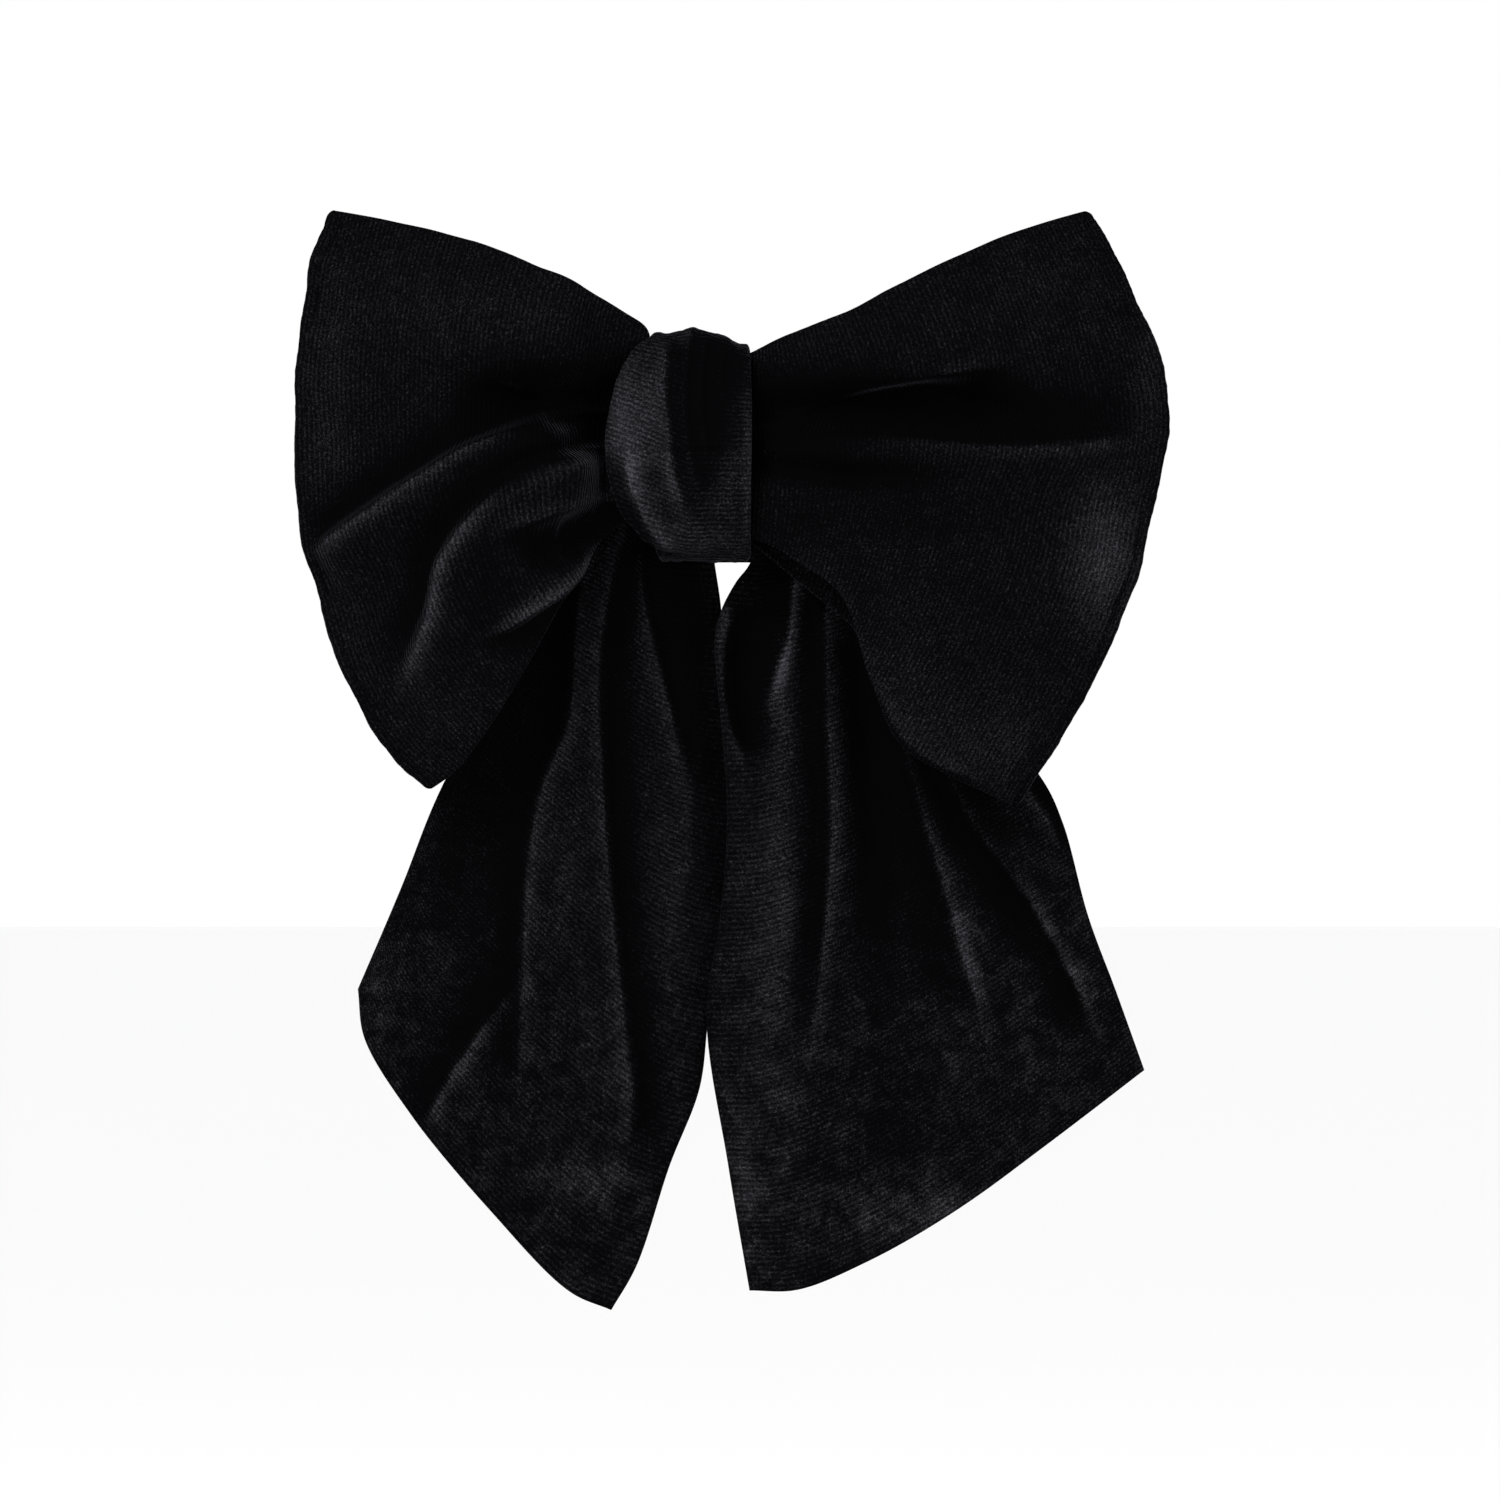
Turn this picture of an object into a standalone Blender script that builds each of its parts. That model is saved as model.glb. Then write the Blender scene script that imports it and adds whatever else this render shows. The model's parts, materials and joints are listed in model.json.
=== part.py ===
# Velvet hair bow: two gathered loops, a wrapped knot and two tails on a snap barrette.
# Metres, +Z up, the bow faces -Y. The origin is the middle of the gap that holds the hair.
import math

import bmesh
import bpy
import numpy as np
from mathutils import Matrix, Vector

MM = 0.001

# Fits
touch_gap = 0.3 * MM          # between pieces that lie against each other
run_gap = 0.3 * MM            # round a pin and beside a moving piece

# Barrette
clip_length = 80.0 * MM       # plate, end to end
clip_width = 9.0 * MM
clip_sag = 4.0 * MM           # how far the plate's ends curve back towards the head
plate_sheet = 0.8 * MM
end_roundness = (1.06, 8)     # the plate's rounded ends: how far past them they close, and how bluntly
hair_gap = 5.6 * MM           # between tension bar and clasp arm, at the middle
arm_width = 6.6 * MM
arm_sheet = 0.9 * MM
arm_sag = 1.0 * MM
arm_land = 10.0 * MM          # flat middle of the arm, which lies against the head
arm_past_latch = 3.0 * MM
bar_width = 5.6 * MM
bar_sheet = 0.6 * MM
bar_sag = 0.8 * MM
bar_end_room = 3.5 * MM       # from the bar's end to the latch
bar_travel = 1.0 * MM
pin_diameter = 1.2 * MM
pin_stand = 0.2 * MM          # past the ears at each end
eye_wall = 0.8 * MM
ear_sheet = 0.8 * MM
ear_length = 5.0 * MM
finger_sheet = 0.8 * MM
finger_width = 3.0 * MM
finger_stand = 1.6 * MM       # a finger tip's length past the closed arm
finger_reach = 1.3 * MM       # clear half space between the two fingers
finger_bevel = 0.25 * MM
latch_inset = 5.0 * MM        # from the plate's end to the latch
rivet_diameter = 1.0 * MM
rivet_head = 0.4 * MM
rivet_head_radii = (0.9 * rivet_diameter, 0.8 * rivet_diameter)    # under the plate, on the web
sewing_hole = 2.0 * MM
sewing_hole_insets = (2.2 * ear_length, 2.0 * finger_width)        # from the hinge end, from the latch

# Velvet
cloth_wall = 3.0 * MM         # the two velvet layers of a turned strip with the air between them
strap_wall = 0.8 * MM
strap_width = 14.0 * MM
strap_foot = 6.0 * MM
thread_diameter = 0.6 * MM
thread_turns = 3              # of the gathering thread round the waist
stitch_half = 1.4 * MM        # half the width of the knot's closing stitches
stitch_count = 6

# Knot and what it grips
knot_width = 27.0 * MM
knot_height = 41.6 * MM
knot_wall = 2.5 * MM
knot_corner = 6.0 * MM
knot_edge_width = 17.5 * MM   # width of the band where it turns over the top and under
waist_depth = 13.0 * MM       # gathered loops inside the knot
head_depth = 5.1 * MM         # gathered head of the tails behind the knot
head_notch = 7.0 * MM         # how far the head is open upwards between the tails
head_bevel = 1.0 * MM
head_top = (-0.35, 0.42)      # ends of its top edge, as shares of the knot's width
head_shoulder = (-0.55, -2.0 * MM)
waist_pinch = (0.96, 0.04)    # the waist's size at its ends, and how much fuller its middle is

# Loops
reach_left = 70.3 * MM        # from the knot's middle to the outer fold
reach_right = 90.1 * MM
loop_rise = 43.2 * MM
drop_left = 62.8 * MM
drop_right = 65.7 * MM
loop_puff = 12.0 * MM         # how far a lobe stands in front of the waist
fold_radius = 6.0 * MM
fold_start = 0.06             # share of the reach before the outer fold where the cloth starts to turn
mouth_flare = 1.05            # how much taller the loop is where it leaves the knot
loop_grid = (34, 15)          # points along and across a loop

# Tails
tail_drop = 157.4 * MM        # from the knot's middle to the longest tip
tail_left_spread = 58.6 * MM
tail_right_spread = 85.5 * MM
tail_pleat = 4.0 * MM
tail_lean = 1.0 * MM          # how far in front of their hinge line the tails hang
tail_grid = (26, 21)
neck_fall = 0.25              # how quickly a tail thins from its rolled neck to the cloth's wall

# Depths, from the head (+Y) to the front (-Y)
bar_y = -hair_gap / 2 - bar_sheet / 2
strap_y = bar_y - bar_sheet / 2 - bar_travel - 2 * touch_gap - strap_wall / 2
plate_y = strap_y - strap_wall / 2 - touch_gap - plate_sheet / 2
foot_y = plate_y - plate_sheet / 2 - touch_gap - strap_wall / 2
head_back = foot_y - strap_wall / 2 - touch_gap
head_front = head_back - head_depth
stitch_y = head_front - touch_gap - thread_diameter / 2
ring_back = stitch_y - thread_diameter / 2 - touch_gap
waist_back = ring_back - knot_wall - thread_diameter - 2 * touch_gap
waist_front = waist_back - waist_depth
ring_front = waist_front - thread_diameter - 2 * touch_gap - knot_wall
arm_y = hair_gap / 2 + arm_sheet / 2
waist_half = knot_height / 2 - knot_wall - thread_diameter - 2 * touch_gap
loop_neck_left = knot_edge_width - knot_width / 2
loop_neck_right = knot_width / 2 - touch_gap
fold_y = (waist_back + waist_front) / 2
neck_radius = 3.0 * MM
hinge_y = (head_back + head_front) / 2 + tail_lean
hinge_z = -knot_height / 2 - neck_radius - touch_gap

# Barrette stations
pin_x = -clip_length / 2 + ear_length / 2
pin_y = arm_y + arm_sag
latch_x = clip_length / 2 - latch_inset
bar_length = 2 * (latch_x - finger_width / 2 - bar_end_room)


def clear_scene():
    for item in list(bpy.data.objects):
        bpy.data.objects.remove(item, do_unlink=True)


def make_material(name, colour, roughness, metallic):
    material = bpy.data.materials.new(name)
    material.use_nodes = True
    shader = material.node_tree.nodes["Principled BSDF"]
    shader.inputs["Base Color"].default_value = (*colour, 1.0)
    shader.inputs["Roughness"].default_value = roughness
    shader.inputs["Metallic"].default_value = metallic
    return material


def velvet(name):
    return make_material(name + "_velvet", (0.012, 0.012, 0.014), 0.9, 0.0)


def thread(name):
    return make_material(name + "_polyester", (0.02, 0.02, 0.022), 0.7, 0.0)


def steel(name):
    return make_material(name + "_steel", (0.62, 0.63, 0.65), 0.28, 1.0)


def add_object(name, points, faces, material, smooth_angle=35.0):
    mesh = bpy.data.meshes.new(name)
    mesh.from_pydata([tuple(point) for point in points], [], faces)
    work = bmesh.new()
    work.from_mesh(mesh)
    bmesh.ops.recalc_face_normals(work, faces=work.faces)
    work.to_mesh(mesh)
    work.free()
    mesh.materials.append(material)
    mesh.shade_smooth()
    mesh.set_sharp_from_angle(angle=math.radians(smooth_angle))
    item = bpy.data.objects.new(name, mesh)
    bpy.context.collection.objects.link(item)
    return item


def set_origin(item, pivot):
    # Puts the object's origin on its joint's axis and leaves the mesh where it is.
    item.data.transform(Matrix.Translation(item.location - Vector(pivot)))
    item.location = pivot


def spline(points, count):
    # A smooth curve through the points, sampled evenly from first to last.
    points = np.asarray(points, dtype=float)
    chord = np.linalg.norm(np.diff(points, axis=0), axis=1)
    knots = np.concatenate([[0.0], np.cumsum(np.sqrt(chord))])
    slopes = np.gradient(points, knots, axis=0)
    where = np.linspace(0.0, knots[-1], count)
    span = np.clip(np.searchsorted(knots, where, side="right") - 1, 0, len(points) - 2)
    width = (knots[span + 1] - knots[span])[:, None]
    t = (where - knots[span])[:, None] / width
    return ((2 * t**3 - 3 * t**2 + 1) * points[span]
            + (t**3 - 2 * t**2 + t) * width * slopes[span]
            + (3 * t**2 - 2 * t**3) * points[span + 1]
            + (t**3 - t**2) * width * slopes[span + 1])


def loft(rails, along, across):
    # A sheet through rails: each is smoothed along its length, then they are joined across.
    curves = np.array([spline(rail, along) for rail in rails])
    rows = np.array([spline(curves[:, station], across) for station in range(along)])
    return rows


def thicken(rows, walls):
    # Turns a sheet of rows into a closed solid with the given wall at each row.
    along = np.gradient(rows, axis=0)
    across = np.gradient(rows, axis=1)
    normal = np.cross(along, across)
    normal /= np.linalg.norm(normal, axis=2)[:, :, None]
    half = np.asarray(walls)[:, None, None] / 2
    ring = np.concatenate([rows + normal * half, (rows - normal * half)[:, ::-1]], axis=1)
    return close_tube(ring)


def close_tube(rings):
    # Joins closed rings of points into one solid, capped at both ends with flat strips.
    count, size = rings.shape[:2]
    points = rings.reshape(-1, 3)
    faces = []
    for row in range(count - 1):
        for column in range(size):
            after = (column + 1) % size
            faces.append((row * size + column, row * size + after,
                          (row + 1) * size + after, (row + 1) * size + column))
    for base in (0, (count - 1) * size):
        for column in range(size // 2 - 1):
            faces.append((base + column, base + column + 1,
                          base + size - 2 - column, base + size - 1 - column))
    return points, faces


def close_ring(rings):
    # Joins closed rings of points into one endless band.
    count, size = rings.shape[:2]
    points = rings.reshape(-1, 3)
    faces = []
    for row in range(count):
        below = (row + 1) % count
        for column in range(size):
            after = (column + 1) % size
            faces.append((row * size + column, row * size + after,
                          below * size + after, below * size + column))
    return points, faces


def tube(path, diameter, sides=8):
    # A round thread along a path, with its section kept square to the path.
    path = np.asarray(path, dtype=float)
    heading = np.gradient(path, axis=0)
    heading /= np.linalg.norm(heading, axis=1)[:, None]
    side = np.cross(heading, np.array([0.31, 0.83, 0.47]))
    side /= np.linalg.norm(side, axis=1)[:, None]
    other = np.cross(heading, side)
    turn = np.linspace(0.0, 2 * math.pi, sides, endpoint=False)
    rings = (path[:, None] + diameter / 2 * (np.cos(turn)[None, :, None] * side[:, None]
                                             + np.sin(turn)[None, :, None] * other[:, None]))
    return close_tube(rings)


def rounded_section(back, front, half_height, corner, count):
    # A closed rounded rectangle in the YZ plane, with its points evenly spaced along it.
    turn = np.radians(np.linspace(0.0, 90.0, 9))
    arc = corner * np.column_stack([np.cos(turn), np.sin(turn)])
    y_in, z_in = (back - front) / 2 - corner, half_height - corner
    right = np.array([y_in, z_in]) + arc
    quarters = [right, np.column_stack([-right[::-1, 0], right[::-1, 1]]), -right,
                np.column_stack([right[::-1, 0], -right[::-1, 1]])]
    outline = np.concatenate(quarters + [right[:1]])
    length = np.concatenate([[0.0], np.linalg.norm(np.diff(outline, axis=0), axis=1).cumsum()])
    where = np.linspace(0.0, length[-1], count, endpoint=False)
    even = [np.interp(where, length, outline[:, axis]) for axis in (0, 1)]
    return np.column_stack(even) + np.array([(back + front) / 2, 0.0])


# Each loop rail: three places as shares of reach and of rise or drop, then how far the front
# layer puffs forward and how far the back layer sits behind the waist at the first two of them.
left_rails = (
    (((0.20, 0.62), (0.55, 0.90), (0.906, 1.00)), (0.10, 0.50), (0.2, 0.5)),
    (((0.27, 0.34), (0.60, 0.44), (0.980, 0.50)), (0.70, 1.00), (0.1, 0.8)),
    (((0.30, 0.03), (0.60, -0.02), (0.990, -0.04)), (0.35, 0.60), (0.0, 0.4)),
    (((0.28, -0.17), (0.58, -0.38), (0.920, -0.50)), (0.65, 1.00), (-0.1, -0.3)),
    (((0.25, -0.36), (0.42, -0.70), (0.646, -1.00)), (0.10, 0.45), (-0.2, -0.4)),
)
right_rails = (
    (((0.26, 0.52), (0.55, 0.80), (0.837, 1.00)), (0.10, 0.50), (0.2, 0.5)),
    (((0.28, 0.28), (0.60, 0.42), (0.965, 0.50)), (0.60, 0.90), (0.1, 0.8)),
    (((0.28, 0.00), (0.60, 0.00), (0.995, 0.02)), (0.25, 0.45), (0.0, 0.4)),
    (((0.28, -0.18), (0.58, -0.34), (0.905, -0.47)), (0.50, 0.75), (-0.1, -0.3)),
    (((0.26, -0.36), (0.40, -0.75), (0.695, -1.00)), (0.10, 0.40), (-0.2, -0.4)),
)


def band_fullness(forward, z):
    # How far the knot band has widened: fully at the middle of its front, not at all behind.
    return forward**2 * math.cos(min(abs(z) / (knot_height / 2), 1.0) * math.pi / 2) ** 0.7


def loop_rail(places, front, back, share, side, reach, drop, neck):
    # One line of the loop: out of the waist, round the outer fold and back into the waist.
    def spot(place, y):
        lift = loop_rise if place[1] > 0 else drop
        return (side * place[0] * (reach - cloth_wall / 2), y, place[1] * lift)

    neck_z = share * (waist_half - cloth_wall / 2)
    front_y = waist_front + cloth_wall / 2 + touch_gap
    back_y = waist_back - cloth_wall / 2 - touch_gap
    start = side * (neck + touch_gap)
    front_mouth = side * (neck + (knot_width / 2 - neck) * band_fullness(1.0, neck_z) + cloth_wall)
    back_mouth = side * (neck + cloth_wall)
    shoulder = tuple(place - fold_start * np.sign(place) for place in places[2])
    return [
        (start, front_y, neck_z), (front_mouth, front_y, neck_z * mouth_flare),
        spot(places[0], waist_front - front[0] * loop_puff),
        spot(places[1], waist_front - front[1] * loop_puff),
        spot(shoulder, fold_y - fold_radius),
        spot(places[2], fold_y),
        spot(shoulder, fold_y + fold_radius),
        spot(places[1], waist_back + back[1] * fold_radius),
        spot(places[0], waist_back + back[0] * fold_radius),
        (back_mouth, back_y, neck_z * mouth_flare), (start, back_y, neck_z),
    ]


def make_loop(name, rails, side, reach, drop, neck):
    shares = np.linspace(1.0, -1.0, len(rails))
    lines = [loop_rail(*rail, share, side, reach, drop, neck) for rail, share in zip(rails, shares)]
    rows = loft(lines, *loop_grid)
    points, faces = thicken(rows, [cloth_wall] * len(rows))
    return add_object(name, points, faces, velvet(name))


def make_waist():
    # The loops' gathered middle, pinched into soft pleats, which fills the knot.
    section = rounded_section(waist_back, waist_front, waist_half, knot_corner - knot_wall, 28)
    centre = section.mean(axis=0)
    stations = np.linspace(-loop_neck_left, loop_neck_right, 7)
    rings = []
    for station in stations:
        pinch = waist_pinch[0] + waist_pinch[1] * math.cos(math.pi * station / knot_width) ** 2
        ring = centre + (section - centre) * pinch
        rings.append(np.column_stack([np.full(len(ring), station), ring]))
    points, faces = close_tube(np.array(rings))
    return add_object("loop_waist", points, faces, velvet("loop_waist"))


def make_gathering_thread():
    # Turns of thread round the waist, under the knot, with lap points in each turn.
    lap = 28
    clear = touch_gap + thread_diameter / 2
    section = rounded_section(waist_back + clear, waist_front - clear, waist_half + clear,
                              knot_corner - knot_wall + clear, lap)
    index = np.arange(thread_turns * lap)
    x = (index / lap - thread_turns / 2) * 3 * thread_diameter
    path = np.column_stack([x, section[index % lap]])
    points, faces = tube(path, thread_diameter, 6)
    return add_object("gathering_thread", points, faces, thread("gathering_thread"))


def make_knot():
    # A wide band round both loops' waist: full at the front, narrower where it turns over.
    outer = rounded_section(ring_back, ring_front, knot_height / 2, knot_corner, 48)
    inner = rounded_section(ring_back - knot_wall, ring_front + knot_wall,
                            knot_height / 2 - knot_wall, knot_corner - knot_wall, 48)
    right = knot_width / 2
    rings = []
    for out, inn in zip(outer, inner):
        forward = np.clip((ring_back - out[0]) / (ring_back - ring_front), 0.0, 1.0)
        left = -loop_neck_left - (knot_width / 2 - loop_neck_left) * band_fullness(forward, out[1])
        rings.append([(left, *out), (right, *out), (right, *inn), (left, *inn)])
    points, faces = close_ring(np.array(rings))
    return add_object("knot_band", points, faces, velvet("knot_band"))


def make_closing_thread():
    # Whip stitches that close the knot band behind, between it and the head of the tails.
    z = np.linspace(-0.5, 0.5, 2 * stitch_count + 1) * (knot_height - 4 * knot_corner)
    x = np.where(np.arange(len(z)) % 2, 1.0, -1.0) * stitch_half
    path = spline(np.column_stack([x, np.full(len(z), stitch_y), z]), 6 * stitch_count)
    points, faces = tube(path, thread_diameter, 6)
    return add_object("knot_closing_thread", points, faces, thread("knot_closing_thread"))


# Each tail rail: places from just under the neck to the hem, as shares of spread and drop, with
# how far the cloth stands forward (+) or back (-) there in pleats.
left_tail_rails = (
    ((-0.50, 0.24, -0.3), (-0.74, 0.395, -0.6), (-0.90, 0.52, -0.8), (-1.00, 0.63, -0.8)),
    ((-0.33, 0.24, 0.9), (-0.46, 0.43, 1.0), (-0.55, 0.60, 0.6), (-0.76, 0.77, -0.2)),
    ((-0.26, 0.24, -0.7), (-0.32, 0.43, -0.8), (-0.38, 0.64, -0.6), (-0.52, 0.90, -0.2)),
    ((-0.17, 0.24, 1.0), (-0.23, 0.43, 1.0), (-0.20, 0.66, 0.9), (-0.33, 0.975, 0.3)),
    ((-0.04, 0.24, -0.7), (-0.02, 0.43, -0.7), (-0.02, 0.66, -0.5), (-0.24, 0.99, 0.0)),
    ((0.098, 0.27, -0.2), (0.135, 0.42, -0.4), (0.085, 0.62, -0.4), (-0.19, 1.00, -0.2)),
)
right_tail_rails = (
    ((0.085, 0.27, 0.6), (0.117, 0.42, 0.9), (0.075, 0.62, 0.8), (0.155, 0.976, 0.4)),
    ((0.15, 0.26, -0.8), (0.24, 0.43, -0.5), (0.25, 0.65, -0.2), (0.31, 0.965, 0.0)),
    ((0.24, 0.25, 0.8), (0.33, 0.43, 1.0), (0.33, 0.65, 0.9), (0.48, 0.92, 0.5)),
    ((0.32, 0.25, -0.8), (0.45, 0.42, -0.8), (0.52, 0.62, -0.6), (0.65, 0.86, -0.2)),
    ((0.40, 0.25, 0.6), (0.62, 0.42, 0.7), (0.75, 0.58, 0.5), (0.84, 0.80, 0.3)),
    ((0.47, 0.25, -0.4), (0.775, 0.38, -0.6), (0.87, 0.53, -0.6), (1.00, 0.72, -0.5)),
)
left_neck = (-0.75, 0.24)      # neck ends as shares of the knot's width
right_neck = (0.50, 1.10)


def make_tail(name, rails, spread, neck):
    # A tail hangs from a rolled neck, whose round top turns in place on the hinge line.
    middle = hinge_y - tail_lean
    ends = np.linspace(neck[0], neck[1], len(rails)) * knot_width
    lines = []
    for rail, end in zip(rails, ends):
        line = [(end, hinge_y, hinge_z), (end, hinge_y, hinge_z - neck_radius)]
        line += [(x * spread, middle - fold * tail_pleat, -z * tail_drop) for x, z, fold in rail]
        lines.append(line)
    body = loft(lines, *tail_grid)
    length = np.linalg.norm(np.diff(body[:, 0], axis=0), axis=1).cumsum() / neck_radius
    wall = np.maximum(cloth_wall, 2 * neck_radius / (1 + neck_fall * length))
    wall = np.concatenate([[2 * neck_radius], wall])
    cap = np.radians([72.0, 48.0, 24.0])
    crown = [body[0] + np.array([0.0, 0.0, neck_radius * math.sin(angle)]) for angle in cap]
    walls = np.concatenate([2 * neck_radius * np.cos(cap), wall])
    points, faces = thicken(np.concatenate([crown, body]), walls)
    item = add_object(name, points, faces, velvet(name))
    set_origin(item, (0.0, hinge_y, hinge_z))
    return item


def make_tail_head():
    # The tails' gathered head, a wide inverted V stitched behind the knot.
    left, left_inner = (share * knot_width for share in left_neck)
    right_inner, right = (share * knot_width for share in right_neck)
    low = hinge_z + neck_radius + touch_gap
    high = waist_half - knot_corner
    notch = low + head_notch
    outline = [(left, low), (left_inner, low), ((left_inner + right_inner) / 2, notch),
               (right_inner, low), (right, low), (knot_width / 2, 0.0),
               (head_top[1] * knot_width, high), (head_top[0] * knot_width, high),
               (head_shoulder[0] * knot_width, head_shoulder[1])]
    return extrude_y("tail_head", outline, head_front, head_back, velvet("tail_head"), head_bevel)


def extrude_y(name, outline, front, back, material, bevel=0.0):
    # A plate with the given outline in XZ, between two depths, with softened edges.
    count = len(outline)
    points = [(x, front, z) for x, z in outline] + [(x, back, z) for x, z in outline]
    faces = [tuple(range(count)), tuple(range(2 * count - 1, count - 1, -1))]
    faces += [(i, (i + 1) % count, count + (i + 1) % count, count + i) for i in range(count)]
    item = add_object(name, points, faces, material)
    if bevel:
        add_bevel(item, bevel)
    return item


def add_bevel(item, width, segments=2):
    bevel = item.modifiers.new("soft_edges", "BEVEL")
    bevel.width = width
    bevel.segments = segments
    bevel.limit_method = "ANGLE"
    bevel.angle_limit = math.radians(40.0)


def sweep_z(name, centre_line, sheet, half_widths, material):
    # Sheet metal: a centre line in XY with a thickness, spread to each station's width in Z.
    line = np.asarray(centre_line, dtype=float)
    heading = np.gradient(line, axis=0)
    heading /= np.linalg.norm(heading, axis=1)[:, None]
    normal = np.column_stack([-heading[:, 1], heading[:, 0]]) * sheet / 2
    rings = []
    for point, off, half in zip(line, normal, half_widths):
        near, far = point - off, point + off
        rings.append([(*near, -half), (*near, half), (*far, half), (*far, -half)])
    points, faces = close_tube(np.array(rings))
    return add_object(name, points, faces, material)


def cylinder_z(name, centre, diameter, half_length, sides=16):
    bpy.ops.mesh.primitive_cylinder_add(vertices=sides, radius=diameter / 2, depth=2 * half_length,
                                        location=(centre[0], centre[1], 0.0))
    item = bpy.context.object
    item.name = name
    return item


def cylinder_y(name, x, diameter, low, high, sides=16):
    bpy.ops.mesh.primitive_cylinder_add(vertices=sides, radius=diameter / 2, depth=high - low,
                                        location=(x, (low + high) / 2, 0.0), rotation=(math.pi / 2, 0, 0))
    item = bpy.context.object
    item.name = name
    return item


def box(name, low, high):
    centre = [(a + b) / 2 for a, b in zip(low, high)]
    bpy.ops.mesh.primitive_cube_add(size=1.0, location=centre)
    item = bpy.context.object
    item.name = name
    item.scale = [b - a for a, b in zip(low, high)]
    bpy.ops.object.transform_apply(location=False, rotation=False, scale=True)
    return item


def combine(target, tool, operation):
    # Joins or cuts, and leaves a cutter hidden from the render.
    step = target.modifiers.new(operation.lower() + "_" + tool.name, "BOOLEAN")
    step.operation = operation
    step.object = tool
    step.solver = "EXACT"
    tool.hide_render = True
    tool.display_type = "WIRE"


def dress(item, material):
    item.data.materials.clear()
    item.data.materials.append(material)
    item.data.shade_smooth()
    item.data.set_sharp_from_angle(angle=math.radians(35.0))
    return item


def arch(x, middle, sag, length):
    # Y of a sheet that curves from its middle towards the head at both ends.
    return middle + sag * (2 * x / length) ** 2


def make_plate():
    stations = np.linspace(-clip_length / 2, clip_length / 2, 17)
    line = [(x, arch(x, plate_y, clip_sag, clip_length)) for x in stations]
    past_end, bluntness = end_roundness
    taper = np.sqrt(np.clip(1.0 - (2 * stations / (clip_length * past_end)) ** bluntness, 0.0, 1.0))
    plate = sweep_z("barrette_plate", line, plate_sheet, taper * clip_width / 2, steel("barrette_plate"))
    ear_inner = arm_width / 2 + run_gap
    ear_top = pin_y + pin_diameter / 2 + run_gap + eye_wall
    ear_low = arch(pin_x - ear_length / 2, plate_y, clip_sag, clip_length) - plate_sheet
    for sign in (-1, 1):
        z_near, z_far = sorted((sign * ear_inner, sign * (ear_inner + ear_sheet)))
        ear = box("ear_block", (pin_x - ear_length / 2, ear_low, z_near),
                  (pin_x + ear_length / 2, ear_top, z_far))
        combine(plate, ear, "UNION")
    bore = cylinder_z("pin_bore", (pin_x, pin_y), pin_diameter + 2 * run_gap, clip_width)
    combine(plate, bore, "DIFFERENCE")
    for x in (-clip_length / 2 + sewing_hole_insets[0], latch_x - sewing_hole_insets[1]):
        hole = cylinder_y("sewing_hole", x, sewing_hole, plate_y - 2 * clip_sag, plate_y + 2 * clip_sag)
        combine(plate, hole, "DIFFERENCE")
    rivet_hole = cylinder_y("rivet_hole", latch_x, rivet_diameter + 2 * touch_gap,
                            plate_y - 2 * clip_sag, plate_y + 2 * clip_sag)
    combine(plate, rivet_hole, "DIFFERENCE")
    return plate


def make_tension_bar():
    stations = np.linspace(-bar_length / 2, bar_length / 2, 13)
    line = [(x, arch(x, bar_y, bar_sag, bar_length)) for x in stations]
    return sweep_z("tension_bar", line, bar_sheet, [bar_width / 2] * len(line), steel("tension_bar"))


def make_pin():
    pin = cylinder_z("hinge_pin", (pin_x, pin_y), pin_diameter,
                     arm_width / 2 + run_gap + ear_sheet + pin_stand)
    return dress(pin, steel("hinge_pin"))


def make_arm():
    start = pin_x + pin_diameter / 2 + run_gap + eye_wall / 2
    end = latch_x + finger_width / 2 + arm_past_latch
    stations = np.concatenate([np.linspace(start, -arm_land / 2, 7), np.linspace(arm_land / 2, end, 8)])
    line = [(x, arch(x, arm_y, arm_sag, clip_length)) for x in stations]
    arm = sweep_z("clasp_arm", line, arm_sheet, [arm_width / 2] * len(line), steel("clasp_arm"))
    eye = cylinder_z("arm_eye", (pin_x, pin_y), pin_diameter + 2 * run_gap + 2 * eye_wall, arm_width / 2, 20)
    combine(arm, eye, "UNION")
    bore = cylinder_z("arm_bore", (pin_x, pin_y), pin_diameter + 2 * run_gap, arm_width)
    combine(arm, bore, "DIFFERENCE")
    finger_outer = finger_reach + finger_sheet + run_gap
    window = box("arm_window", (latch_x - finger_width / 2 - run_gap, arm_y - clip_sag, -finger_outer),
                 (latch_x + finger_width / 2 + run_gap, arm_y + clip_sag, finger_outer))
    combine(arm, window, "DIFFERENCE")
    set_origin(arm, (pin_x, pin_y, 0.0))
    return arm


def latch_seat():
    return arch(latch_x + finger_width, plate_y, clip_sag, clip_length) + plate_sheet / 2 + touch_gap


def make_finger(name, sign):
    # One side of the squeeze latch, straight up from its seat, with a rolled thumb tip.
    seat = latch_seat()
    tip = arch(latch_x, arm_y, arm_sag, clip_length) + arm_sheet / 2 + finger_stand
    near, far = sorted((sign * finger_reach, sign * (finger_reach + finger_sheet)))
    finger = box(name, (latch_x - finger_width / 2, seat, near), (latch_x + finger_width / 2, tip, far))
    dress(finger, steel(name))
    add_bevel(finger, finger_bevel)
    set_origin(finger, (latch_x, seat, (near + far) / 2))
    return finger


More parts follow.
